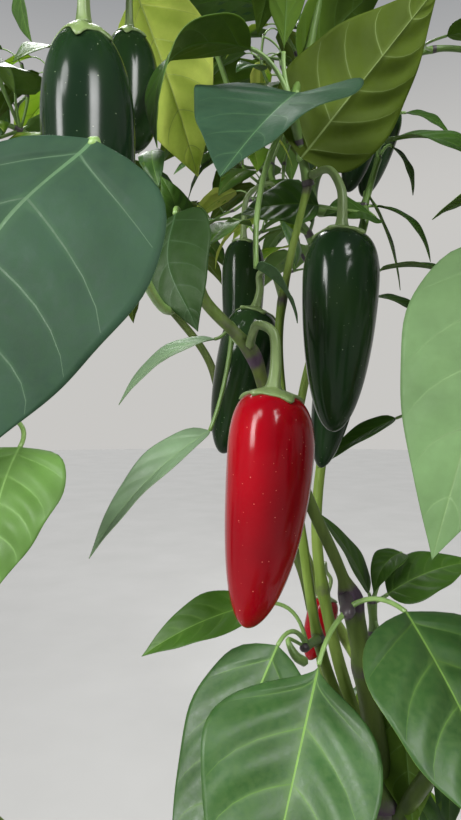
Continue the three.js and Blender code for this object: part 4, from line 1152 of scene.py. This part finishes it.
def pod_axes(pod):
    top = vec(pod["top"])
    axis = vec(pod["tip"]) - top
    length = math.sqrt(float(axis @ axis))
    axis = axis / length
    side = unit(vec([1, 0, 0]) - axis * axis[0])
    return top, axis, side, np.cross(axis, side), length


def pod_radius(pod, share):
    """The radius at a share of a pod's length: a squared shoulder, then a taper to a blunt tip."""
    shoulder, fullness, blunt = pod["shoulder"], pod["fullness"], pod["blunt"]
    on_shoulder = np.minimum(share, shoulder) / shoulder
    round_top = np.clip(1 - (1 - on_shoulder) ** 2, 0, 1) ** pod["square"]
    onward = np.clip((share - shoulder) / (1 - shoulder), 0, 1)
    return pod["radius"] * np.where(share < shoulder, round_top, (1 - onward**fullness) ** blunt)


def pod_place(pod, share, radius, angle):
    """A place round the axis of a pod, with its three shallow lobes and its bow."""
    top, axis, side, front, length = pod_axes(pod)
    lobe = 1 + LOBES * np.cos(3 * angle)
    bow = vec(pod.get("bow", [0, 0, 0]))
    return (
        top
        + axis * (share * length)[..., None]
        + side * (radius * lobe * np.cos(angle))[..., None]
        + front * (radius * lobe * np.sin(angle))[..., None]
        + bow * (4 * share * (1 - share))[..., None]
    )


def pod_piece(name, pod, material, random):
    """The skin of a pod, with faint furrows that start at the shoulder."""
    sides, rings = (72, 64) if pod.get("fine") else (48, 44)
    turn = [TURN * random() for _ in range(4)]
    steps = np.linspace(0, 1, rings + 1)[1:-1]
    share = 0.5 - 0.5 * np.cos(math.pi * steps**0.92)
    share = share[:, None] + np.zeros(sides)[None]
    angle = ring_angles(sides)[None]
    furrow = 1 - 0.02 * np.exp(-share / 0.16) * abs(np.cos(1.5 * angle + turn[0])) ** 4
    swell = 1 + 0.012 * np.sin(2 * angle + 3 * share + turn[1]) + 0.006 * np.sin(6 * share + turn[2])
    swell = swell + 0.002 * np.sin(3 * angle + 4 * share + turn[3])
    grid = pod_place(pod, share, pod_radius(pod, share) * furrow * swell, angle)
    parts = MeshParts()
    add_skin(parts, grid, [pod["top"], pod["tip"]])
    declare(parts.build(f"skin_{name}", [material]), f"{pod['colour']}_fruit", name)


def add_calyx(parts, pod, random):
    """The thin green cap on the shoulder of a pod, ribbed, with teeth that stand out a little."""
    length = pod_axes(pod)[-1]
    scale = pod["radius"] / FULL_POD
    angle = ring_angles(60)[None]
    turn = TURN * random()
    tooth = (0.5 + 0.5 * np.cos(5 * angle + turn + 0.35 * np.sin(2 * angle + turn))) ** 3
    rim = 0.59 + 0.18 * tooth + 0.045 * np.cos(3 * angle + 2 * turn)
    reach = np.array([0.2, 0.32, 0.46, 0.6, 0.74, 0.87, 0.96, 1, 0.985, 0.9])[:, None]
    lift = np.array([2.6, 1.7, 1.25, 1.05, 0.95, 0.9, 0.85, 0.6, 0.1, -0.5])[:, None]
    ribs = 0.22 * np.cos(5 * angle + turn) * np.sin(math.pi * reach**1.5)
    raised = 1.3 * tooth * smooth_step(reach, 0.7, 1) * (lift > 0)
    radius = pod["radius"] * rim * reach
    depth = 1 - np.sqrt(1 - (radius / pod["radius"]) ** (1 / pod["square"]))
    share = pod["shoulder"] * depth - (lift + ribs + raised) * scale / length
    grid = pod_place(pod, share, radius, angle + np.zeros_like(radius))
    ends = np.array([-2.6 * scale / length, 0.6 * scale / length])
    add_skin(parts, grid, pod_place(pod, ends, np.zeros(2), np.zeros(2)))


def add_fruit_stalk(parts, pod):
    """The ridged stalk of a pod, which bends over and thickens towards the cap."""
    top, axis = pod_axes(pod)[:2]
    scale = pod["radius"] / FULL_POD
    neck = top - axis * 1.6 * scale
    path = SmoothPath([*pod["stalk"], neck - axis * 9, neck])
    shares = np.linspace(0, 1, max(int(path.length / 1.1), 12) + 1)
    sides = 20
    radii = scale * (1.5 + 0.75 * shares**1.5 + 1.1 * np.exp(-(1 - shares) * path.length / 1.6))
    foot = 1 + 0.35 * np.exp(-shares / 0.05)
    relief = 1 + 0.09 * np.cos(5 * ring_angles(sides))[None] * np.ones((len(shares), 1))
    add_tube(parts, path.along(shares), radii * foot, sides, relief=relief)


# Finer growth: once every mass has grown, each node sends out small shoots by the same rule, with
# shorter twigs and smaller leaves that keep the same distance rule, in the same space.
SHOOTS = {
    "internode": 21,
    "blade": 38,
    "levels": 3,
    "spacing": 3.2,
    "twig_spacing": 2.4,
    "twig_radius": 1.15,
    "droop": 0.4,
}
SHOOT_TURNS = (0.6, 2.7, -1.5, 4.2)


def cut_back(twigs, leaves):
    """Twigs without their bare ends: each stops at the last node with a leaf or a kept twig."""
    roots = [one["root"] for one in leaves]
    kept = []
    for twig in reversed(twigs):
        count = len(twig["places"])
        while count > 1 and not any(np.array_equal(twig["places"][count - 1], root) for root in roots):
            count -= 1
        if count > 1:
            kept.append({"places": twig["places"][:count], "radii": twig["radii"][:count]})
            roots.append(twig["places"][0])
    return kept[::-1]


def add_shoots(room, grown):
    """Small shoots from the nodes of each mass's twigs, no further out than the solids reach."""
    reach = [vec(corner) / MM for corner in cad_box]
    for name, mass in MASSES.items():
        if "space" not in mass:
            continue
        random = seeded(mass["seed"] + SHOOT_SEED)
        rule = {**mass, **SHOOTS, "reach": reach}
        plant = grown[name]
        spans = [pair for twig in plant["twigs"] for pair in zip(twig["places"], twig["places"][1:])]
        for before, after in spans:
            ahead = unit(after - before)
            aside = unit(np.cross(ahead, vec([0.3, 0.2, 1])))
            for turn in SHOOT_TURNS:
                heading = unit(0.55 * ahead + turned(aside, ahead, turn + 0.8 * random()))
                spread = unit(np.cross(heading, ahead))
                shoot = {"places": [after], "radii": [SHOOTS["twig_radius"]]}
                fresh = {"twigs": [], "leaves": []}
                grow_twigs(room, rule, fresh, shoot, heading, spread, 0, random)
                plant["shoots"] += cut_back([shoot, *fresh["twigs"]], fresh["leaves"])
                plant["small"] += fresh["leaves"]


# Looks of the listed leaves: their tint, and how the midrib, margin and surface depart from
# the plain shape. The sides and the pinch widen and narrow either side of a blade.
LEAF_LOOKS = {
    ("leaves_top_left", 0): {
        "tint": "grey_painted_sheen", "skew": 0.42, "wave": 0.012, "quilt": 0.012,
        "knee": vec([-94, -52, 405]), "stalk_size": 1.5,
    },
    ("leaves_top_left", 1): {"tint": "shade", "skew": 0.3, "quilt": 0.008, "wave": 0.01},
    ("leaves_top_left", 4): {"tint": "sunlit", "quilt": 0.03},
    ("leaves_top_middle", 0): {
        "tint": "olive", "quilt": 0.03, "wave": 0.03, "fold": 0.3, "sides": (0.84, 1)
    },
    ("leaves_top_middle", 1): {"tint": "grey_painted_sheen", "wave": 0.02, "quilt": 0.012, "pinch": (0.5, 0.1)},
    ("leaves_top_middle", 3): {"width": 18, "wedge": 0.25},
    ("leaves_top_middle", 5): {"tint": "shade", "stalk_size": 1.5},
    ("leaves_fork_front", 0): {
        "tint": "mid", "wave": 0.03, "quilt": 0.036, "fold": 0.3, "sides": (1.02, 1.16), "wedge": 0.13
    },
    ("leaves_fork_front", 1): {"tint": "mid", "wave": 0.02, "quilt": 0.03},
    ("leaves_fork_left", 0): {"tint": "mid", "wave": 0.02, "quilt": 0.022},
    ("leaves_right_front", 0): {"tint": "pale", "wave": 0.015, "quilt": 0.01},
    # The dark stalks of these two leaves are painted shade: they take the darker twig green.
    ("leaves_middle_left", 0): {"tint": "silver", "width": 14, "stalk": "dark"},
    ("leaves_middle_left", 1): {"tint": "silver", "width": 21, "fold": 0.4, "stalk": "dark"},
    ("leaves_left", 0): {"tint": "bright", "width": 50, "quilt": 0.035, "sides": (0.95, 1.15)},
}


def tint(upper, lower, vein, through=0.26, gloss=0.22, rough=0.46):
    """The colours of a leaf above, below and in its veins, the share of light that comes through
    it, its gloss and its roughness."""
    colours = {"upper": upper, "lower": lower, "vein": vein}
    return {**colours, "through": through, "gloss": gloss, "rough": rough}


TINTS = {
    "deep": tint([0.034, 0.092, 0.007], [0.08, 0.15, 0.012], [0.1, 0.2, 0.03], gloss=0.3),
    "mid": tint([0.028, 0.085, 0.018], [0.1, 0.19, 0.035], [0.16, 0.3, 0.06], gloss=0.5),
    # Painted sheen: this tint's bluish, greyish cast over a dark green stands in for a sheen of pale sky
    # on the leaf; its real gloss is kept low.
    "grey_painted_sheen": tint([0.022, 0.054, 0.03], [0.07, 0.14, 0.06], [0.068, 0.145, 0.062], 0.16, 0.14, 0.6),
    "shade": tint([0.015, 0.037, 0.007], [0.04, 0.08, 0.03], [0.03, 0.07, 0.022], 0.05, 0.12),
    "olive": tint([0.05, 0.12, 0.015], [0.085, 0.13, 0.012], [0.18, 0.25, 0.07], 0.36),
    "sunlit": tint([0.15, 0.28, 0.03], [0.54, 0.58, 0.13], [0.34, 0.43, 0.09], 0.5),
    "pale": tint([0.115, 0.2, 0.08], [0.19, 0.31, 0.12], [0.14, 0.23, 0.09], rough=0.55),
    "silver": tint([0.14, 0.22, 0.12], [0.16, 0.25, 0.12], [0.19, 0.29, 0.14], 0.15, 0.4),
    "bright": tint([0.1, 0.2, 0.045], [0.16, 0.29, 0.06], [0.17, 0.31, 0.08]),
}
# What grown leaves choose from, what the listed ones are otherwise, and the paler limbs.
GROWN_TINTS = ["deep", "mid", "mid", "olive", "sunlit"]
PLAIN_TINT = "deep"
YOUNG_LIMBS = ["bough_middle", "bough_right_back", "bough_right", "bough_back"]


# Materials.
def is_socket(value):
    return isinstance(value, bpy.types.NodeSocket)


class NodeTree:
    """The nodes of a material or of the surroundings, put together step by step."""

    def __init__(self, owner):
        owner.use_nodes = True
        self.nodes = owner.node_tree.nodes
        self.links = owner.node_tree.links

    def fill(self, node, **values):
        """Sets the inputs of a node. A value is a number, a colour or the socket that it is from."""
        for name, value in values.items():
            target = node.inputs[name.replace("_", " ")]
            if is_socket(value):
                self.links.new(value, target)
            else:
                target.default_value = value

    def node(self, kind, settings=None, **values):
        made = self.nodes.new(kind)
        for key, value in (settings or {}).items():
            setattr(made, key, value)
        self.fill(made, **values)
        return made

    def ranged(self, value, low, high, to_low=0.0, to_high=1.0, way="LINEAR"):
        """A value moved from one range to another, and kept in it."""
        made = self.node("ShaderNodeMapRange", {"interpolation_type": way}, Value=value)
        self.fill(made, From_Min=low, From_Max=high, To_Min=to_low, To_Max=to_high)
        return made.outputs["Result"]

    def blend(self, share, first, second):
        """A colour between two colours, each given as three numbers or as a socket."""
        first, second = [value if is_socket(value) else [*value, 1] for value in (first, second)]
        return self.node("ShaderNodeMixRGB", Fac=share, Color1=first, Color2=second).outputs["Color"]

    def combined(self, operation, first, second):
        """Two values added or multiplied."""
        made = self.node("ShaderNodeMath", {"operation": operation})
        self.links.new(first, made.inputs[0])
        self.links.new(second, made.inputs[1])
        return made.outputs["Value"]


class Look(NodeTree):
    """A material, round one principled shader."""

    def __init__(self, name, roughness, **values):
        self.material = bpy.data.materials.new(name)
        super().__init__(self.material)
        self.shader = self.nodes["Principled BSDF"]
        self.fill(self.shader, Roughness=roughness, **values)
        self.spot = self.node("ShaderNodeTexCoord").outputs["Object"]

    def noise(self, scale, detail=3.0, stretch=None):
        """Noise in cycles per metre, drawn out along an axis where a stretch is given."""
        spot = self.spot
        if stretch:
            spot = self.node("ShaderNodeMapping", Vector=spot, Scale=stretch).outputs["Vector"]
        made = self.node("ShaderNodeTexNoise", Vector=spot, Scale=scale, Detail=detail, Roughness=0.55)
        return made.outputs["Fac"]

    def clouds(self, scale, detail=3.0, stretch=None, low=0.3, high=0.7, to=(0.0, 1.0)):
        """Noise with more contrast: what lies between low and high is spread over a range."""
        return self.ranged(self.noise(scale, detail, stretch), low, high, *to)

    def paleness(self):
        """What the mesh says about its places: how near to a vein or how purple they are."""
        return self.node("ShaderNodeAttribute", {"attribute_name": "pale"}).outputs["Fac"]

    def skin(self, colour, roughness):
        self.fill(self.shader, Base_Color=colour, Roughness=roughness)

    def bump(self, height, strength, distance):
        """Relief too fine for the mesh; its distance is in metres."""
        before = self.shader.inputs["Normal"].links
        made = self.node("ShaderNodeBump", Height=height, Strength=strength, Distance=distance)
        if before:
            self.fill(made, Normal=before[0].from_socket)
        self.fill(self.shader, Normal=made.outputs["Normal"])

    def let_through(self, share, colour):
        """Lets part of the light through, as a leaf does."""
        thin = self.node("ShaderNodeBsdfTranslucent", Color=[*colour, 1])
        mix = self.node("ShaderNodeMixShader", Fac=share)
        self.links.new(self.shader.outputs["BSDF"], mix.inputs[1])
        self.links.new(thin.outputs["BSDF"], mix.inputs[2])
        self.fill(self.nodes["Material Output"], Surface=mix.outputs["Shader"])


def scaled(colour, factor):
    return [min(channel * factor, 1) for channel in colour]


def mixed(first, second, share):
    return [a + (b - a) * share for a, b in zip(first, second)]


def blade_look(name, colour, vein, roughness, gloss, glow, through):
    """Leaf skin: mottled colour, paler towards the veins, with a net of fine veins as relief.
    The share of light that comes through has the colour, glowing."""
    look = Look(name, roughness, Specular_IOR_Level=gloss)
    fine = look.clouds(420, low=0.25, high=0.75)
    base = look.blend(look.clouds(45, 4.0), scaled(colour, 0.8), scaled(colour, 1.25))
    base = look.blend(look.ranged(fine, 0, 1, 0, 0.3), base, scaled(vein, 0.6))
    halo = look.ranged(look.paleness(), 0.35, 1.3, 0, 0.35)
    matt = look.ranged(fine, 0, 1, roughness - 0.07, roughness + 0.1)
    look.skin(look.blend(halo, base, vein), matt)
    net = look.node("ShaderNodeTexVoronoi", {"feature": "DISTANCE_TO_EDGE"}, Vector=look.spot, Scale=420)
    look.bump(look.ranged(net.outputs["Distance"], 0, 0.25), 0.12, 0.0001)
    look.bump(look.noise(900, 2.0), 0.2, 0.00005)
    look.let_through(through, scaled(colour, glow))
    return look.material


def vein_look(name, colour):
    look = Look(name, 0.5, Specular_IOR_Level=0.28)
    base = look.blend(look.clouds(160, 2.0), scaled(colour, 0.88), scaled(colour, 1.1))
    look.skin(base, look.clouds(500, to=(0.44, 0.58)))
    look.bump(look.noise(1200, 2.0), 0.2, 0.00005)
    look.let_through(0.18, scaled(colour, 1.1))
    return look.material


def stalk_look(name, colour, dark, roughness):
    """Fresh green stalks: streaks along them, and a faint waxy sheen."""
    look = Look(name, roughness, Specular_IOR_Level=0.5, Coat_Weight=0.12, Coat_Roughness=0.3)
    base = look.blend(look.clouds(170, 4.0, (1, 1, 0.22), high=0.72), dark, colour)
    base = look.blend(look.clouds(35, 2.0, low=0.35, to=(0, 0.3)), base, scaled(colour, 0.7))
    look.skin(base, look.clouds(300, to=(roughness - 0.06, roughness + 0.12)))
    look.bump(look.noise(650, 3.0, (1, 1, 0.2)), 0.3, 0.0002)
    return look.material


def bark_look(name, dark, light):
    """Green, ribbed skin of stem and boughs, purple at the nodes, and corky towards the ground."""
    look = Look(name, 0.55, Specular_IOR_Level=0.2)
    skin = look.blend(look.clouds(130, 5.0, (1, 1, 0.15)), dark, light)
    skin = look.blend(look.clouds(28, low=0.5, high=0.8, to=(0, 0.3)), skin, [0.11, 0.1, 0.03])
    purple = look.blend(look.noise(200, 3.0, (1, 1, 0.3)), [0.03, 0.016, 0.032], [0.08, 0.052, 0.08])
    edge = look.combined("ADD", look.paleness(), look.clouds(220, 4.0, to=(-0.22, 0.22)))
    skin = look.blend(look.ranged(edge, 0.25, 0.8), skin, purple)
    height = look.node("ShaderNodeSeparateXYZ", Vector=look.spot).outputs["Z"]
    flakes = look.clouds(90, 4.0, (1, 1, 0.25), low=0.32, high=0.6, to=(0.45, 1))
    corky = look.combined("MULTIPLY", look.ranged(height, 0.2, 0.06), flakes)
    cork = look.blend(look.clouds(150, 5.0, (1, 1, 0.2)), [0.09, 0.062, 0.035], [0.3, 0.235, 0.15])
    look.skin(look.blend(corky, skin, cork), look.clouds(240, to=(0.42, 0.66)))
    look.bump(look.noise(380, 5.0, (1, 1, 0.12)), 0.6, 0.0005)
    look.bump(look.noise(1400, 2.0), 0.2, 0.0001)
    return look.material


def pod_look(name, colour, dark, patch, speck):
    """Waxy skin under a clear coat: soft clouds of colour, a slight unevenness, tiny pale specks."""
    look = Look(
        name, 0.3, Specular_IOR_Level=0.04, Coat_Weight=0.42, Coat_Roughness=0.13, Coat_IOR=1.4
    )
    base = look.blend(look.clouds(38, 3.0, (1, 1, 0.5), high=0.72), dark, colour)
    base = look.blend(look.clouds(22, 2.0, low=0.48, high=0.75, to=(0, 0.5)), base, patch)
    cells = look.node("ShaderNodeTexVoronoi", Vector=look.spot, Scale=520)
    specks = look.ranged(cells.outputs["Distance"], 0.13, 0.07)
    specks = look.combined("MULTIPLY", specks, look.clouds(900, 1.0, low=0.56, high=0.63))
    base = look.blend(look.ranged(specks, 0, 1, 0, 0.75), base, speck)
    look.skin(base, look.clouds(120, to=(0.15, 0.27)))
    look.bump(look.noise(45, 2.0), 0.08, 0.0005)
    look.bump(look.noise(1500, 2.0), 0.05, 0.00005)
    return look.material


def make_materials():
    made = {
        "bark": bark_look("stem_bark", [0.036, 0.06, 0.011], [0.1, 0.15, 0.03]),
        "young": bark_look("stem_bark_young", [0.1, 0.16, 0.02], [0.21, 0.3, 0.06]),
        "twig": stalk_look("twig_green", [0.14, 0.25, 0.05], [0.075, 0.13, 0.03], 0.42),
        "node": stalk_look("twig_node", [0.065, 0.052, 0.05], [0.03, 0.018, 0.036], 0.45),
        "petiole": stalk_look("petiole_green", [0.22, 0.36, 0.1], [0.14, 0.24, 0.06], 0.4),
        "cap": stalk_look("cap_green", [0.19, 0.27, 0.09], [0.085, 0.13, 0.04], 0.42),
        "red": pod_look(
            "pod_skin_red", [0.28, 0.001, 0.006], [0.19, 0.001, 0.005], [0.13, 0.001, 0.004],
            [0.85, 0.3, 0.22],
        ),
        "green": pod_look(
            "pod_skin_green", [0.013, 0.033, 0.01], [0.006, 0.016, 0.007], [0.018, 0.034, 0.006],
            [0.25, 0.32, 0.2],
        ),
        "blades": [],
    }
    for name, leafy in TINTS.items():
        upper, lower, vein = leafy["upper"], leafy["lower"], leafy["vein"]
        through, gloss, rough = leafy["through"], leafy["gloss"], leafy["rough"]
        made["blades"] += [
            blade_look(f"blade_{name}_upper", upper, vein, rough, gloss, 2.0, through),
            blade_look(f"blade_{name}_lower", lower, vein, 0.58, 0.5 * gloss, 1.4, through),
            vein_look(f"vein_{name}_upper", mixed(upper, vein, 0.45)),
            vein_look(f"vein_{name}_lower", mixed(lower, vein, 0.7)),
            vein_look(f"midrib_{name}", vein),
        ]
    return made


def leaf_variety(one, random):
    """Gives a grown leaf its own sway, twist, wave and tint."""
    return {
        **one,
        "sway": 0.07 * (random() - 0.5),
        "twist": 0.9 * (random() - 0.5),
        "wave": 0.012 + 0.022 * random(),
        "curl": 0.12 * (random() - 0.6),
        "phases": (6 * random(), 6 * random()),
        "tint": GROWN_TINTS[int(len(GROWN_TINTS) * random())],
    }


def leaves_piece(name, mass, plant, materials, random):
    """The leaves of a mass. Behind the materials of all tints come those of green stalks and of dark
    stalks, whose darker twig green is painted shade.
    """
    by_hand = len(mass["leaves"])
    leaves = [
        (one["detail"], {"tint": PLAIN_TINT, **one, **LEAF_LOOKS.get((name, i), {})})
        for i, one in enumerate(mass["leaves"])
    ]
    leaves += [("far", leaf_variety(one, random)) for one in plant["leaves"][by_hand:]]
    leaves += [("fine", leaf_variety(one, random)) for one in plant["small"]]
    parts = MeshParts()
    # Dark stalks take the darker twig green as painted shade.
    green, dark = FACES * len(TINTS), FACES * len(TINTS) + 1
    for detail, one in leaves:
        add_blade(parts, one, GRADES[detail], FACES * list(TINTS).index(one["tint"]))
        add_petiole(parts, one, GRADES[detail], dark if one.get("stalk") == "dark" else green)
    if "bud" in mass:
        path = SmoothPath(mass["bud"]["path"])
        shares = np.linspace(0, 1, 20)
        radii = mass["bud"]["radius"] * (0.55 + 0.9 * smooth_step(shares, 0.35, 0.9))
        add_tube(parts, path.along(shares), radii, 14, green, caps=(0.3, 0.9))
    stalks = [materials["petiole"], materials["twig"]]
    declare(parts.build(f"blades_{name}", [*materials["blades"], *stalks]), "leaves", name)


def twigs_piece(name, mass, plant, materials):
    parts = MeshParts()
    for twig in plant["twigs"]:
        add_twig(parts, twig, 10 if "space" in mass else 14, (int(name == KNOT_MASS), 1))
    for twig in plant["shoots"]:
        add_twig(parts, twig, 6, (0, 1))
    declare(parts.build(f"twigs_{name}", [materials["twig"], materials["node"]]), "leaves", name)


def stalks_piece(name, node, pods, materials, random):
    """The caps and stalks of some pods, which stand for a node."""
    parts = MeshParts()
    for pod in pods:
        add_calyx(parts, skin_of(pod), random)
        add_fruit_stalk(parts, skin_of(pod))
    declare(parts.build(name, [materials["cap"]]), "stalk", node)


def make_plant(materials):
    lines = {name: SmoothPath(limb["path"]) for name, limb in LIMBS.items()}
    room = Room()
    take_fixed_room(room, lines)
    grown = grow_masses(room)
    add_shoots(room, grown)
    random = seeded(LIMB_SEED)
    for name, limb in LIMBS.items():
        bark = materials["young" if name in YOUNG_LIMBS else "bark"]
        limb_pieces(name, limb, lines[name], bark, random)
    for name, pod in PODS.items():
        pod_piece(name, skin_of(name), materials[pod["colour"]], random)
    in_masses = [pod for mass in MASSES.values() for pod in mass.get("pods", [])]
    for name in PODS:
        if name not in in_masses:
            stalk = name.replace("pod", "stalk")
            stalks_piece(f"calyx_{name}", stalk, [name], materials, random)
    for name, mass in MASSES.items():
        random = seeded(mass["seed"] + LOOK_SEED)
        leaves_piece(name, mass, grown[name], materials, random)
        twigs_piece(name, mass, grown[name], materials)
        if "pods" in mass:
            stalks_piece(f"stalks_{name}", name, mass["pods"], materials, random)


# The studio: a pale floor, pale surroundings that are dimmer in front and overhead, a soft light,
# one from behind that shines through the leaves, and two soft boxes that give the pods their
# streaks. Its lengths are metres.
FLOOR_RADIUS = 6.0
FLOOR_DROP = 0.0004
BACKGROUND = (0.58, 0.57, 0.55)
# Where the surroundings change, along an axis of the direction, and the colour beyond.
SHADES = [("Y", -0.1, -0.8, (0.25, 0.25, 0.255)), ("Z", 0.3, 0.75, (0.18, 0.2, 0.23))]
SUNS = [
    {"name": "key", "from": (-0.6, -0.9, 0.9), "strength": 1.22, "angle": 0.3},
    {"name": "rim", "from": (-0.3, 0.9, 1.2), "strength": 2.6, "angle": 0.35},
]
BOXES = [
    {"name": "box_left", "place": (-1.3, -1.2, 1.0), "size": (0.5, 1.2), "power": 6},
    {"name": "box_right", "place": (0.8, -1.3, 1.3), "size": (0.4, 1.0), "power": 4},
]
BOX_SPREAD = math.radians(60)
LIGHT_TARGET = (0, 0, 0.4)


def make_floor():
    look = Look("floor_pale", 0.8, Specular_IOR_Level=0.2)
    grain = look.blend(look.clouds(6), [0.4, 0.395, 0.38], [0.43, 0.425, 0.41])
    look.fill(look.shader, Base_Color=grain)
    parts = MeshParts()
    sides = 96
    angles = ring_angles(sides)
    rim = np.stack([np.cos(angles), np.sin(angles), np.zeros(sides)], axis=1) * FLOOR_RADIUS / MM
    places = np.concatenate([rim, [[0, 0, 0]]]) - [0, 0, FLOOR_DROP / MM]
    step = np.arange(sides)
    parts.add(places, faces_of(step, (step + 1) % sides, sides), 0)
    parts.build("floor", [look.material])


def make_surroundings():
    """Colours by direction, dimmer behind the camera and overhead."""
    world = bpy.data.worlds.new("studio")
    bpy.context.scene.world = world
    tree = NodeTree(world)
    heading = tree.node("ShaderNodeTexCoord").outputs["Generated"]
    apart = tree.node("ShaderNodeSeparateXYZ", Vector=heading)
    sky = BACKGROUND
    for axis, near, far, colour in SHADES:
        share = tree.ranged(apart.outputs[axis], near, far, way="SMOOTHSTEP")
        sky = tree.blend(share, sky, colour)
    tree.fill(tree.nodes["Background"], Color=sky)
    bpy.context.scene.view_settings.view_transform = "Standard"


def add_light(data, place, aim):
    lamp = bpy.data.objects.new(data.name, data)
    bpy.context.scene.collection.objects.link(lamp)
    lamp.location = place
    lamp.visible_camera = False
    towards = mathutils.Vector(aim) - lamp.location
    lamp.rotation_euler = towards.to_track_quat("-Z", "Y").to_euler()


def make_lights():
    for sun in SUNS:
        data = bpy.data.lights.new(sun["name"], "SUN")
        data.energy = sun["strength"]
        data.angle = sun["angle"]
        add_light(data, mathutils.Vector(sun["from"]) * 2, (0, 0, 0))
    for box in BOXES:
        data = bpy.data.lights.new(box["name"], "AREA")
        data.shape = "RECTANGLE"
        data.size, data.size_y = box["size"]
        data.energy = box["power"]
        data.spread = BOX_SPREAD
        add_light(data, box["place"], LIGHT_TARGET)


def make_camera():
    """Stands at the lookout and looks level along +Y, as the photograph does."""
    data = bpy.data.cameras.new("view")
    data.sensor_fit = "VERTICAL"
    data.sensor_height = SENSOR
    data.lens = SENSOR * PHOTO_FOCUS / PHOTO_HIGH
    data.clip_start = 0.01
    data.clip_end = 30
    camera = bpy.data.objects.new("view", data)
    bpy.context.scene.collection.objects.link(camera)
    camera.location = [length * MM for length in LOOKOUT]
    camera.rotation_euler = (math.pi / 2, 0, 0)
    bpy.context.scene.camera = camera


make_plant(make_materials())
make_floor()
make_surroundings()
make_lights()
make_camera()
